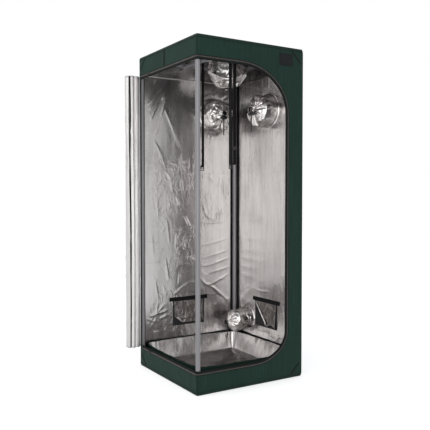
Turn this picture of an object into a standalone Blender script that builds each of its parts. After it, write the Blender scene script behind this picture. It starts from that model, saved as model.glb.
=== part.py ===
"""Indoor grow tent, 0.60 x 0.60 x 1.60 m: a push-fit tube frame under a sewn cover.

The frame is twelve tubes and eight three-way corners, with one hanging bar clipped below the
roof bars. The cover is seven sewn panels with round duct sleeves, two flap vents and a door that
wraps the near left corner, shown unzipped and gathered at its sewn edge. X runs to the right,
Y to the back, Z up. The origin is the middle of the floor, under the tent.
"""
import math

import bmesh
import bpy
from mathutils import Matrix, Vector

# Overall size of the tent
WIDTH = 0.600
DEPTH = 0.600
HEIGHT = 1.600

# Cover
FABRIC = 0.0012
SEAM_GAP = 0.0003
RIM_SKIRT = 0.0020
WRAP_WIDTH = 0.0280
CUT_OVERRUN = 0.0100

# Frame
POLE_DIAMETER = 0.0220
POLE_WALL = 0.0012
FRAME_FIT = 0.0005
SPIGOT_FIT = 0.0004
SPIGOT_LENGTH = 0.0300
SPIGOT_CHAMFER = 0.0015
CORNER_ARM = 0.0450
CORNER_RADIUS = 0.0104
CORNER_BALL = 0.0109
CORNER_STEP = 0.0005
CORNER_SIDES = 16
ARM_TURN = 5.0
POLE_SIDES = 16
SPIGOT_SIDES = 12
EDGE_STEPS = 4

# Hanging bar
HANG_BAR_X = -0.0420
HANG_BAR_DROP = 0.0100
CLIP_WALL = 0.0025
CLIP_FIT = 0.0003
CLIP_WIDTH = 0.0300
CLIP_START_ANGLE = 40.0
CLIP_END_ANGLE = 230.0
CLIP_STEPS = 10

# Doorway: the zip line below the top, above the floor and on the front face
ZIP_BELOW_TOP = 0.1000
ZIP_ABOVE_FLOOR = 0.0980
ZIP_RIGHT_INSET = 0.0960
LIP_WIDTH = 0.0110
TOP_CURVE_WIDTH = 0.2700
TOP_CURVE_HEIGHT = 0.2150
BOTTOM_CURVE_WIDTH = 0.1900
BOTTOM_CURVE_HEIGHT = 0.1380
CURVE_STEPS = 9

# Zip
TAPE_WIDTH = 0.0160
TAPE_THICKNESS = 0.0009
CHAIN_WIDTH = 0.0060
CHAIN_HEIGHT = 0.0018
ZIP_END_GAP = 0.0060
SLIDER_FIT = 0.0004
SLIDER_LENGTH = 0.0130
SLIDER_WIDTH = 0.0110
SLIDER_ROOF = 0.0028
SLIDER_PARK_Y = 0.1750
BAIL_SPAN = 0.0080
BAIL_WIRE = 0.0015
BAIL_RISE = 0.0030
PULL_WIDTH = 0.0052
PULL_LENGTH = 0.0190
PULL_THICKNESS = 0.0016
PULL_EYE_OUTER = 0.0024
PULL_EYE_INNER = 0.0013

# Gathered door
DOOR_STAND_OFF = 0.0445
DOOR_INSET = 0.0150
DOOR_HALF_WIDTH = 0.0360
DOOR_HALF_DEPTH = 0.0340
DOOR_TRIM_BOTTOM = 0.0090
DOOR_TRIM_TOP = 0.0020
DOOR_CREASE = 0.0050
DOOR_FOLDS = 6
DOOR_POINTS_PER_FOLD = 6
DOOR_RINGS = 8
DOOR_SWAY = 0.0012
DOOR_SWAY_TURNS_SHARE = 1.5
DOOR_BEAD_RADIUS = 0.0012
DOOR_BEAD_SIDES = 8
DOOR_SEAM_INSET = 0.0230
DOOR_WEB_INSET = 0.0015
DOOR_WEB_SHARE = 0.5

# Floor tray
TRAY_FIT = 0.0008
TRAY_HEIGHT = 0.1190
TRAY_CORNER = 0.0140
TRAY_STEPS = 3

# Duct ports and sleeves
SLEEVE_FABRIC = 0.0010
FLANGE_WIDTH = 0.0065
SLEEVE_SEGMENTS = 28
SLEEVE_PLEATS = 7
PORT_SEGMENTS = 28
UPPER_PORT_RADIUS = 0.0830
UPPER_PORT_DROP = 0.2650
UPPER_SLEEVE_LENGTH = 0.1200
BACK_PORT_X = 0.1500
RIGHT_PORT_Y = -0.0200
ROOF_PORT_RADIUS = 0.1000
ROOF_PORT_INSET = 0.1600
ROOF_SLEEVE_LENGTH = 0.1500
ROOF_NECK_RADIUS = 0.0140
LOWER_PORT_RADIUS = 0.0500
LOWER_PORT_INSET = 0.1450
LOWER_PORT_Z = 0.2150
LOWER_SLEEVE_LENGTH = 0.1400
LOWER_SLEEVE_DROOP = 0.0100
NECK_RADIUS = 0.0060
ROOF_TIE_WIRE = 0.0040
ROOF_TIE_SIDES = 8

# Sleeve drawcords and their locks
CORD_DIAMETER = 0.0030
CORD_FIT = 0.0005
CORD_SPACING = 0.0036
CORD_TAIL = 0.1000
CORD_TAIL_SHARES = (0.0, 0.25, 0.5, 0.75, 1.0)
CORD_LOCK_SPREAD_SHARE = 1.05
CORD_NECK_SPREAD_SHARE = 2.0
CORD_NECK_DROP_SHARE = 1.1
LOWER_CORD_TAIL = 0.0700
KNOT_RADIUS = 0.0042
KNOT_LIFT_SHARE = 0.25
LOCK_DROP = 0.0120
LOCK_RADIUS = 0.0105
LOCK_CLOSED_END = 0.0135
LOCK_OPEN_END = 0.0105
LOCK_BORE_END = 0.0112
LOCK_BORE_RADIUS = 0.0072
PLUNGER_RADIUS = 0.0068
PLUNGER_END = 0.0078
PLUNGER_TRAVEL = 0.0030
PLUNGER_HEAD_RADIUS = 0.0085
PLUNGER_HEAD = 0.0030
LOCK_SIDES = 16

# Low vents
VENT_WIDTH = 0.1850
VENT_BOTTOM = 0.1910
VENT_TOP = 0.3160
BACK_VENT_X = -0.0070
VENT_TO_PORT = 0.1550
MESH_MARGIN = 0.0050
MESH_THICKNESS = 0.0008
HOOK_STRIP_WIDTH = 0.2350
HOOK_STRIP_HEIGHT = 0.0210
HOOK_STRIP_THICKNESS = 0.0015
FLAP_THICKNESS = 0.0010
FLAP_MARGIN = 0.0030
FLAP_HINGE_GAP = 0.0006
FLAP_CURL = 0.0420
FLAP_CURL_WIDTH_SHARE = 0.55
FLAP_CURL_POWER_SHARE = 1.5
FLAP_SHIFT_SHARE = 0.6
FLAP_WAVE_TURN_SHARE = 3.1
FLAP_WAVE = 0.0030
FLAP_COLUMNS = 12
FLAP_ROWS = 8

# Hanging straps
WEBBING_WIDTH = 0.0250
WEBBING_THICKNESS = 0.0018
STRAP_BACK_Y = 0.1050
STRAP_FRONT_Y = -0.1910
STRAP_END_DROP = 0.5403
STRAP_LOOP_DROP = 0.5373
STRAP_LOOP_RADIUS = 0.0040
STRAP_CLOSE_SHARE = 1.8
STRAP_RETURN = 0.0140
STRAP_STEPS = 8
BUCKLE_RAIL = 0.0036
BUCKLE_THICKNESS = 0.0034
BUCKLE_BAR = 0.0040
BUCKLE_TOP_WINDOW = 0.0070
BUCKLE_LOW_WINDOW = 0.0060
WEBBING_FIT = 0.0005
GLIDE_DROP = 0.4623
GLIDE_HEIGHT = 0.0160
GLIDE_WALL = 0.0026

# Label patch and door tie
PATCH_INSET = 0.1085
PATCH_DROP = 0.0630
PATCH_WIDTH = 0.0790
PATCH_HEIGHT = 0.0580
PATCH_THICKNESS = 0.0012
PATCH_CORNER = 0.0040
TIE_Y = 0.0110
TIE_WIDTH = 0.0100
TIE_THICKNESS = 0.0014
TIE_GAP = 0.0020

# Roundings of small hard parts, as shares of their thickness
ROUNDING_SHARE = 0.25
GLIDE_ROUNDING_SHARE = 0.33
SLIDER_ROUNDING_SHARE = 0.28

# Places that follow from the sizes above
POLE_RADIUS = POLE_DIAMETER / 2
EDGE_ROUND = FABRIC + FRAME_FIT + POLE_RADIUS
FRAME_X = WIDTH / 2 - EDGE_ROUND
FRAME_Y = DEPTH / 2 - EDGE_ROUND
FRAME_LOW = EDGE_ROUND
FRAME_HIGH = HEIGHT - EDGE_ROUND
WALL_BOTTOM = EDGE_ROUND + RIM_SKIRT + SEAM_GAP
WALL_TOP = HEIGHT - WALL_BOTTOM
ZIP_TOP_Z = HEIGHT - ZIP_BELOW_TOP
ZIP_BOTTOM_Z = ZIP_ABOVE_FLOOR
ZIP_RIGHT_X = WIDTH / 2 - ZIP_RIGHT_INSET
LIP_TOP_Z = ZIP_TOP_Z - LIP_WIDTH
LIP_BOTTOM_Z = ZIP_BOTTOM_Z + LIP_WIDTH
WRAP_END_Y = DEPTH / 2 - WRAP_WIDTH
HANG_BAR_Z = FRAME_HIGH - HANG_BAR_DROP
DOOR_CENTRE_X = -WIDTH / 2 - DOOR_STAND_OFF
DOOR_CENTRE_Y = DEPTH / 2 - DOOR_INSET
DOOR_SEAM_Y = DEPTH / 2 - DOOR_SEAM_INSET
DOOR_BOTTOM = ZIP_BOTTOM_Z + DOOR_TRIM_BOTTOM
DOOR_TOP = ZIP_TOP_Z - DOOR_TRIM_TOP
UPPER_PORT_Z = HEIGHT - UPPER_PORT_DROP
ROOF_PORT_X = WIDTH / 2 - ROOF_PORT_INSET
ROOF_PORT_Y = DEPTH / 2 - ROOF_PORT_INSET
LOWER_PORT_Y = DEPTH / 2 - LOWER_PORT_INSET
RIGHT_VENT_Y = LOWER_PORT_Y - VENT_TO_PORT
STRAP_END_Z = HANG_BAR_Z - STRAP_END_DROP
STRAP_LOOP_Z = HANG_BAR_Z - STRAP_LOOP_DROP
GLIDE_Z = HANG_BAR_Z - GLIDE_DROP
PATCH_X = WIDTH / 2 - PATCH_INSET
PATCH_Z = HEIGHT - PATCH_DROP
TAPE_TOP = SEAM_GAP + TAPE_THICKNESS
CHAIN_TOP = TAPE_TOP + CHAIN_HEIGHT

UP = Vector((0, 0, 1))


def clear_scene():
    """Remove the objects that a new file starts with."""
    for obj in list(bpy.data.objects):
        bpy.data.objects.remove(obj, do_unlink=True)


def new_collection(name):
    """A collection linked to the scene."""
    collection = bpy.data.collections.new(name)
    bpy.context.scene.collection.children.link(collection)
    return collection


def new_material(name, colour, roughness, metallic=0.0):
    """A plain Principled material; colour is linear red, green and blue."""
    material = bpy.data.materials.new(name)
    material.use_nodes = True
    shader = material.node_tree.nodes["Principled BSDF"]
    shader.inputs["Base Color"].default_value = (*colour, 1.0)
    shader.inputs["Roughness"].default_value = roughness
    shader.inputs["Metallic"].default_value = metallic
    return material


clear_scene()
TENT = new_collection("grow_tent")
CUTTERS = new_collection("cutters")

OXFORD = ("oxford_cloth", (0.022, 0.044, 0.036), 0.75)
MYLAR = ("silver_lining", (0.60, 0.57, 0.56), 0.35, 0.6)
STEEL = ("white_steel_tube", (0.42, 0.41, 0.42), 0.35, 0.5)
BLACK_PLASTIC = ("black_plastic", (0.012, 0.012, 0.013), 0.45)
BLACK_WEBBING = ("black_webbing", (0.008, 0.008, 0.009), 0.80)
NYLON_CHAIN = ("zip_chain", (0.070, 0.050, 0.050), 0.50)
ZINC = ("zinc_casting", (0.10, 0.10, 0.10), 0.40, 0.9)
NET = ("black_net", (0.010, 0.010, 0.010), 0.85)


def finish(obj, kind):
    """Give the object a material of its own, of the named kind."""
    obj.data.materials.clear()
    obj.data.materials.append(new_material(f"{obj.name}_{kind[0]}", *kind[1:]))
    return obj


def add_object(name, bm, kind, normals=False):
    """Turn a bmesh into a named object of the tent."""
    if normals:
        bmesh.ops.recalc_face_normals(bm, faces=bm.faces)
    mesh = bpy.data.meshes.new(name)
    bm.to_mesh(mesh)
    bm.free()
    obj = bpy.data.objects.new(name, mesh)
    TENT.objects.link(obj)
    return finish(obj, kind)


def add_tool(name, bm):
    """Turn a closed bmesh into a hidden tool for a Boolean."""
    bmesh.ops.recalc_face_normals(bm, faces=bm.faces)
    mesh = bpy.data.meshes.new(name)
    bm.to_mesh(mesh)
    bm.free()
    obj = bpy.data.objects.new(name, mesh)
    obj.hide_render = True
    obj.display_type = "WIRE"
    CUTTERS.objects.link(obj)
    return obj


def boolean(obj, tool, operation):
    """Add one Boolean with the exact solver."""
    modifier = obj.modifiers.new(f"{operation.lower()}_{tool.name}", "BOOLEAN")
    modifier.object = tool
    modifier.operation = operation
    modifier.solver = "EXACT"


def cut(obj, tool):
    """Cut the tool out of the object."""
    boolean(obj, tool, "DIFFERENCE")


def join(obj, tool):
    """Fuse the tool to the object."""
    boolean(obj, tool, "UNION")


def thicken(obj, thickness):
    """Give an open surface its thickness on the side its faces look away from."""
    modifier = obj.modifiers.new("thickness", "SOLIDIFY")
    modifier.thickness = thickness
    modifier.offset = -1.0
    modifier.use_even_offset = True


def box_mesh(low, high):
    """A box between two corners."""
    bm = bmesh.new()
    bmesh.ops.create_cube(bm, size=1.0)
    size = Vector(high) - Vector(low)
    middle = (Vector(high) + Vector(low)) / 2
    bmesh.ops.scale(bm, vec=size, verts=bm.verts)
    bmesh.ops.translate(bm, vec=middle, verts=bm.verts)
    return bm


def rounded_box_mesh(low, high, radius, steps):
    """A box whose edges are all rounded."""
    bm = box_mesh(low, high)
    bmesh.ops.bevel(bm, geom=list(bm.edges), offset=radius, segments=steps, profile=0.5,
                    affect="EDGES", clamp_overlap=True)
    return bm


def rod_mesh(start, end, radius, sides, caps=True):
    """A round rod, or an open tube surface, between two points."""
    start, end = Vector(start), Vector(end)
    along = end - start
    turn = along.to_track_quat("Z", "Y").to_matrix().to_4x4()
    bm = bmesh.new()
    bmesh.ops.create_cone(bm, cap_ends=caps, segments=sides, radius1=radius, radius2=radius,
                          depth=along.length, matrix=Matrix.Translation((start + end) / 2) @ turn)
    return bm


def open_surface(rows, closed=False):
    """Quads between rows of points; rows and points run so that the faces look out."""
    bm = bmesh.new()
    grid = [[bm.verts.new(point) for point in row] for row in rows]
    count = len(rows[0])
    columns = range(count if closed else count - 1)
    for lower, upper in zip(grid, grid[1:]):
        for i in columns:
            j = (i + 1) % count
            bm.faces.new((lower[i], lower[j], upper[j], upper[i]))
    return bm


def swept_solid(rings):
    """A closed solid through rings of points, capped at both ends."""
    bm = open_surface(rings, closed=True)
    bm.verts.ensure_lookup_table()
    count = len(rings[0])
    bm.faces.new(bm.verts[:count])
    bm.faces.new(bm.verts[-count:])
    return bm


def sheet_between(outer, inner):
    """A closed sheet between two grids of points of the same shape."""
    bm = bmesh.new()
    face, lining = ([[bm.verts.new(p) for p in row] for row in grid] for grid in (outer, inner))
    for grid in (face, lining):
        for lower, upper in zip(grid, grid[1:]):
            for i in range(len(lower) - 1):
                bm.faces.new((lower[i], lower[i + 1], upper[i + 1], upper[i]))
    rims = [grid[0] + [row[-1] for row in grid[1:]] + grid[-1][-2::-1]
            + [row[0] for row in grid[-2:0:-1]] for grid in (face, lining)]
    count = len(rims[0])
    for i in range(count):
        j = (i + 1) % count
        bm.faces.new((rims[0][i], rims[0][j], rims[1][j], rims[1][i]))
    return bm


def plan_arc(centre_x, centre_y, start, end, steps=EDGE_STEPS // 2):
    """Points of the cover's outer line round a corner pole, each with its outward direction."""
    plan = []
    for i in range(steps + 1):
        a = math.radians(start + (end - start) * i / steps)
        out = Vector((math.cos(a), math.sin(a), 0))
        plan.append((Vector((centre_x, centre_y, 0)) + out * EDGE_ROUND, out))
    return plan


def wall(name, plan, bottom, top):
    """A cover wall: an upright cloth along a plan line."""
    outer, inner = ([[point - out * depth + UP * z for point, out in plan] for z in (bottom, top)]
                    for depth in (0.0, FABRIC))
    return add_object(name, sheet_between(outer, inner), OXFORD, normals=True)


def lid(name, z_flat, z_open):
    """A roof or floor panel: a flat sheet with a rounded rim towards the walls."""
    far = z_open + (z_open - z_flat)
    low, high = min(z_flat, far), max(z_flat, far)
    bm = box_mesh((-WIDTH / 2, -DEPTH / 2, low), (WIDTH / 2, DEPTH / 2, high))
    flat = max if z_flat > z_open else min
    edges = [e for e in bm.edges if upright(e) or at_height(e, flat(low, high))]
    bmesh.ops.bevel(bm, geom=edges, offset=EDGE_ROUND, segments=EDGE_STEPS, profile=0.5,
                    affect="EDGES")
    half = [f for f in bm.faces if at_height(f, far)]
    bmesh.ops.delete(bm, geom=half, context="FACES")
    side = (0, 0, z_open)
    direction = (0, 0, 1 if far > z_open else -1)
    bmesh.ops.bisect_plane(bm, geom=list(bm.verts) + list(bm.edges) + list(bm.faces),
                           plane_co=side, plane_no=direction, clear_outer=True)
    obj = add_object(name, bm, OXFORD)
    thicken(obj, FABRIC)
    return obj


def upright(edge):
    """Whether a straight edge stands upright."""
    a, b = edge.verts
    return abs(a.co.z - b.co.z) > abs(a.co.x - b.co.x) + abs(a.co.y - b.co.y)


def at_height(element, z):
    """Whether all points of an edge or a face lie at one height."""
    return all(math.isclose(v.co.z, z, abs_tol=SEAM_GAP / 3) for v in element.verts)


def build_poles_and_bars():
    """Twelve tubes along the tent's edges, each short of its corners by the arms' length."""
    reach = CORNER_ARM + CORNER_STEP
    for sx, x_name in ((-1, "left"), (1, "right")):
        for sy, y_name in ((-1, "front"), (1, "back")):
            x, y = sx * FRAME_X, sy * FRAME_Y
            tube(f"pole_{y_name}_{x_name}", (x, y, FRAME_LOW + reach), (x, y, FRAME_HIGH - reach))
    for z, level in ((FRAME_LOW, "floor_bar"), (FRAME_HIGH, "roof_bar")):
        for sx, x_name in ((-1, "left"), (1, "right")):
            x = sx * FRAME_X
            tube(f"{level}_{x_name}", (x, reach - FRAME_Y, z), (x, FRAME_Y - reach, z))
        for sy, y_name in ((-1, "front"), (1, "back")):
            y = sy * FRAME_Y
            tube(f"{level}_{y_name}", (reach - FRAME_X, y, z), (FRAME_X - reach, y, z))


def tube(name, start, end):
    """One steel tube, open at both ends."""
    obj = add_object(name, rod_mesh(start, end, POLE_RADIUS, POLE_SIDES, caps=False), STEEL)
    thicken(obj, POLE_WALL)


def build_corners():
    """Eight three-way corners whose spigots stand inside the tube ends."""
    for z, level, sz in ((FRAME_LOW, "floor", 1), (FRAME_HIGH, "roof", -1)):
        for sx, x_name in ((-1, "left"), (1, "right")):
            for sy, y_name in ((-1, "front"), (1, "back")):
                centre = Vector((sx * FRAME_X, sy * FRAME_Y, z))
                corner(f"corner_{level}_{y_name}_{x_name}", centre, (-sx, -sy, sz))


def corner(name, centre, signs):
    """One moulded corner: a ball and three arms, each with a spigot for its tube."""
    bm = bmesh.new()
    bmesh.ops.create_uvsphere(bm, u_segments=CORNER_SIDES, v_segments=CORNER_SIDES // 2,
                              radius=CORNER_BALL, matrix=Matrix.Translation(centre))
    obj = add_object(name, bm, BLACK_PLASTIC)
    arms = [Vector((signs[0], 0, 0)), Vector((0, signs[1], 0)), Vector((0, 0, signs[2]))]
    for i, arm in enumerate(arms):
        join(obj, add_tool(f"{name}_arm_{i}", arm_mesh(centre, arm, ARM_TURN * (i + 1))))


def arm_mesh(centre, along, turn):
    """An arm with a shoulder for the tube's end and a thinner spigot that stands inside it."""
    spigot = POLE_RADIUS - POLE_WALL - SPIGOT_FIT
    across = along.orthogonal().normalized()
    other = along.cross(across)
    tip = CORNER_ARM + SPIGOT_LENGTH
    profile = [(CORNER_STEP, CORNER_RADIUS), (CORNER_ARM, CORNER_RADIUS), (CORNER_ARM, spigot),
               (tip - SPIGOT_CHAMFER, spigot), (tip, spigot - SPIGOT_CHAMFER)]
    rings = []
    for reach, radius in profile:
        ring = []
        for k in range(SPIGOT_SIDES):
            a = math.tau * k / SPIGOT_SIDES + math.radians(turn)
            ring.append(centre + along * reach + (across * math.cos(a) + other * math.sin(a)) * radius)
        rings.append(ring)
    return swept_solid(rings)


def build_hanging_bar():
    """The bar below the roof, with a snap clip at each end on the front and back roof bars."""
    inner = POLE_RADIUS + CLIP_FIT
    outer = inner + CLIP_WALL
    reach = FRAME_Y - (inner + outer) / 2
    start, end = (HANG_BAR_X, -reach, HANG_BAR_Z), (HANG_BAR_X, reach, HANG_BAR_Z)
    bar = add_object("hanging_bar", rod_mesh(start, end, POLE_RADIUS, POLE_SIDES), STEEL)
    for sy, y_name in ((-1, "front"), (1, "back")):
        centre = Vector((HANG_BAR_X, sy * FRAME_Y, FRAME_HIGH))
        room = rod_mesh(centre - Vector((CLIP_WIDTH, 0, 0)), centre + Vector((CLIP_WIDTH, 0, 0)),
                        (inner + outer) / 2, POLE_SIDES * 2)
        cut(bar, add_tool(f"bar_end_{y_name}", room))
        join(bar, add_tool(f"bar_clip_{y_name}", clip_mesh(centre, -sy, inner, outer)))


def clip_mesh(centre, inward, inner, outer):
    """An open ring round a roof bar; angles start at the top and turn towards the inside."""
    angles = [math.radians(CLIP_START_ANGLE + (CLIP_END_ANGLE - CLIP_START_ANGLE) * i / CLIP_STEPS)
              for i in range(CLIP_STEPS + 1)]
    rings = []
    for a in angles:
        ray = Vector((0, inward * math.sin(a), math.cos(a)))
        side = Vector((CLIP_WIDTH / 2, 0, 0))
        rings.append([centre + ray * inner - side, centre + ray * outer - side,
                      centre + ray * outer + side, centre + ray * inner + side])
    return swept_solid(rings)


def build_cover():
    """Roof, floor and wall panels, sewn edge to edge with a hair of gap between them."""
    seam_turn = math.degrees(SEAM_GAP / 2 / EDGE_ROUND)
    left, right = -FRAME_X, FRAME_X
    near, back = -FRAME_Y, FRAME_Y
    roof = lid("roof_panel", HEIGHT, HEIGHT - EDGE_ROUND - RIM_SKIRT)
    lid("floor_panel", 0.0, EDGE_ROUND + RIM_SKIRT)

    front_plan = plan_arc(left, near, 225 + seam_turn, 270) + plan_arc(right, near, 270, 315 - seam_turn)
    front = wall("front_panel", front_plan, WALL_BOTTOM, WALL_TOP)
    right_plan = plan_arc(right, near, 315 + seam_turn, 360) + plan_arc(right, back, 0, 45 - seam_turn)
    right_wall = wall("right_wall", right_plan, WALL_BOTTOM, WALL_TOP)
    back_plan = plan_arc(right, back, 45 + seam_turn, 90) + plan_arc(left, back, 90, 180, EDGE_STEPS)
    outward = Vector((-1, 0, 0))
    back_plan.append((Vector((-WIDTH / 2, WRAP_END_Y, 0)), outward))
    back_wall = wall("back_wall", back_plan, WALL_BOTTOM, WALL_TOP)
    band_plan = [(Vector((-WIDTH / 2, WRAP_END_Y - SEAM_GAP, 0)), outward)]
    band_plan += plan_arc(left, near, 180, 225 - seam_turn)
    wall("left_top_band", band_plan, LIP_TOP_Z, WALL_TOP)
    wall("left_bottom_band", band_plan, WALL_BOTTOM, LIP_BOTTOM_Z)

    cut(front, doorway_tool())
    port_tools(roof, back_wall, right_wall)
    vent_tools(back_wall, right_wall)


def doorway_line(inset):
    """The front part of the doorway in x and z, from the near corner's top round to its bottom.

    Each right-hand corner is a quarter of an ellipse.
    """
    right = ZIP_RIGHT_X - inset
    top, bottom = ZIP_TOP_Z - inset, ZIP_BOTTOM_Z + inset
    line = [(-FRAME_X, top)]
    line += ellipse_quarter(right, top, TOP_CURVE_WIDTH - inset, TOP_CURVE_HEIGHT - inset, 1)
    line += ellipse_quarter(right, bottom, BOTTOM_CURVE_WIDTH - inset,
                            BOTTOM_CURVE_HEIGHT - inset, -1)[::-1]
    return line + [(-FRAME_X, bottom)]


def ellipse_quarter(right, level, wide, tall, side):
    """A quarter ellipse from the level line to the right-hand line; side is 1 at the top."""
    points = []
    for i in range(CURVE_STEPS + 1):
        a = math.pi / 2 * (1 - i / CURVE_STEPS)
        points.append((right - wide + wide * math.cos(a), level - side * tall * (1 - math.sin(a))))
    return points


def doorway_tool():
    """A prism of the doorway's outline, past the near corner and through the front panel."""
    line = doorway_line(LIP_WIDTH)
    beyond = -WIDTH / 2 - CUT_OVERRUN
    line[0], line[-1] = (beyond, line[0][1]), (beyond, line[-1][1])
    near, far = -DEPTH / 2 - CUT_OVERRUN, -DEPTH / 2 + EDGE_ROUND + CUT_OVERRUN
    rings = [[(x, y, z) for x, z in line] for y in (near, far)]
    return add_tool("doorway_cut", swept_solid(rings))


def port_tools(roof, back_wall, right_wall):
    """Round holes for the four ducts."""
    past = FABRIC + CUT_OVERRUN
    back = Vector((BACK_PORT_X, DEPTH / 2, UPPER_PORT_Z))
    cut(back_wall, port_tool("back_port", back, Vector((0, past, 0)), UPPER_PORT_RADIUS))
    right = Vector((WIDTH / 2, RIGHT_PORT_Y, UPPER_PORT_Z))
    cut(right_wall, port_tool("right_port", right, Vector((past, 0, 0)), UPPER_PORT_RADIUS))
    lower = Vector((WIDTH / 2, LOWER_PORT_Y, LOWER_PORT_Z))
    cut(right_wall, port_tool("lower_port", lower, Vector((past, 0, 0)), LOWER_PORT_RADIUS))
    top = Vector((ROOF_PORT_X, ROOF_PORT_Y, HEIGHT))
    cut(roof, port_tool("roof_port", top, Vector((0, 0, past)), ROOF_PORT_RADIUS))


def port_tool(name, centre, half, sleeve_radius):
    """A rod that cuts a port a fabric's thickness inside its sleeve."""
    return add_tool(name, rod_mesh(centre - half, centre + half, sleeve_radius - FABRIC,
                                   PORT_SEGMENTS))


def vent_tools(back_wall, right_wall):
    """Oblong windows for the two low vents."""
    half = VENT_WIDTH / 2
    past = FABRIC + CUT_OVERRUN
    back = box_mesh((BACK_VENT_X - half, DEPTH / 2 - past, VENT_BOTTOM),
                    (BACK_VENT_X + half, DEPTH / 2 + past, VENT_TOP))
    cut(back_wall, add_tool("back_vent", back))
    right = box_mesh((WIDTH / 2 - past, RIGHT_VENT_Y - half, VENT_BOTTOM),
                     (WIDTH / 2 + past, RIGHT_VENT_Y + half, VENT_TOP))
    cut(right_wall, add_tool("right_vent", right))


def zip_stations():
    """Places along the zip: surface point, outward normal and the way out of the doorway."""
    start_y = WRAP_END_Y - SEAM_GAP - ZIP_END_GAP
    top = [(Vector((-WIDTH / 2, start_y, ZIP_TOP_Z)), Vector((-1, 0, 0)), UP)]
    top += corner_stations(ZIP_TOP_Z, UP)
    front = []
    line = doorway_line(0.0)
    for i in range(1, len(line) - 1):
        before, here, after = (Vector((x, 0, z)) for x, z in line[i - 1:i + 2])
        along = (after - here).normalized() + (here - before).normalized()
        out = Vector((-along.z, 0, along.x)).normalized()
        front.append((Vector((here.x, -DEPTH / 2, here.z)), Vector((0, -1, 0)), out))
    bottom = corner_stations(ZIP_BOTTOM_Z, -UP)[::-1]
    bottom.append((Vector((-WIDTH / 2, start_y, ZIP_BOTTOM_Z)), Vector((-1, 0, 0)), -UP))
    return top + front + bottom


def corner_stations(z, out):
    """Places where the zip goes round the near left corner."""
    places = plan_arc(-FRAME_X, -FRAME_Y, 180, 270, EDGE_STEPS)
    return [(point + UP * z, normal, out) for point, normal in places]


def build_zip():
    """The half of the zip that is sewn to the doorway: a tape with the chain along its middle."""
    half, chain = TAPE_WIDTH / 2, CHAIN_WIDTH / 2
    section = [(-half, SEAM_GAP), (half, SEAM_GAP), (half, TAPE_TOP), (chain, TAPE_TOP),
               (chain, CHAIN_TOP), (-chain, CHAIN_TOP), (-chain, TAPE_TOP), (-half, TAPE_TOP)]
    rings = [[point + out * across + normal * depth for across, depth in section]
             for point, normal, out in zip_stations()]
    add_object("zip_tape", swept_solid(rings), NYLON_CHAIN, normals=True)
    for z, place in ((ZIP_TOP_Z, "top"), (ZIP_BOTTOM_Z, "bottom")):
        build_zip_slider(place, Vector((-WIDTH / 2, SLIDER_PARK_Y, z)))


def build_zip_slider(place, seat):
    """A slider astride the chain, with a wire bail, and its hanging pull."""
    low = TAPE_TOP + SEAM_GAP
    roof_low = CHAIN_TOP + SLIDER_FIT
    top = roof_low + SLIDER_ROOF
    long, wide = SLIDER_LENGTH / 2, SLIDER_WIDTH / 2
    body = rounded_box_mesh(seat + Vector((-top, -long, -wide)), seat + Vector((-low, long, wide)),
                            SLIDER_ROOF * SLIDER_ROUNDING_SHARE, 1)
    obj = add_object(f"zip_slider_{place}", body, ZINC)
    channel = CHAIN_WIDTH / 2 + SLIDER_FIT
    groove = box_mesh(seat + Vector((-roof_low, -long - CUT_OVERRUN, -channel)),
                      seat + Vector((CUT_OVERRUN, long + CUT_OVERRUN, channel)))
    cut(obj, add_tool(f"zip_groove_{place}", groove))
    bar = top + BAIL_RISE
    join(obj, add_tool(f"zip_bail_{place}", bail_mesh(seat, top - SLIDER_ROOF / 2, bar)))
    build_zip_pull(place, seat + Vector((-bar, 0, 0)))


def bail_mesh(seat, foot, bar):
    """A square wire arch along the slider."""
    half = BAIL_SPAN / 2
    wire = BAIL_WIRE / 2
    outer = [(-half - wire, foot), (-half - wire, bar + wire), (half + wire, bar + wire),
             (half + wire, foot)]
    inner = [(-half + wire, foot), (-half + wire, bar - wire), (half - wire, bar - wire),
             (half - wire, foot)]
    rings = []
    for (y_out, d_out), (y_in, d_in) in zip(outer, inner):
        rings.append([seat + Vector((-d_out, y_out, -wire)), seat + Vector((-d_in, y_in, -wire)),
                      seat + Vector((-d_in, y_in, wire)), seat + Vector((-d_out, y_out, wire))])
    return swept_solid(rings)


def build_zip_pull(place, axis):
    """A tab that hangs from an eye round the bail's bar."""
    half = PULL_WIDTH / 2
    reach = Vector((0, half, 0))
    eye = rod_mesh(axis - reach, axis + reach, PULL_EYE_OUTER, SPIGOT_SIDES)
    obj = add_object(f"zip_pull_{place}", eye, ZINC)
    thick = PULL_THICKNESS / 2
    tab = rounded_box_mesh(axis + Vector((-thick, -half, -PULL_LENGTH)),
                           axis + Vector((thick, half, -PULL_EYE_INNER)),
                           PULL_THICKNESS * ROUNDING_SHARE, 1)
    join(obj, add_tool(f"zip_tab_{place}", tab))
    hole = rod_mesh(axis - reach * 2, axis + reach * 2, PULL_EYE_INNER, SPIGOT_SIDES)
    cut(obj, add_tool(f"zip_eye_{place}", hole))


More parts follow.
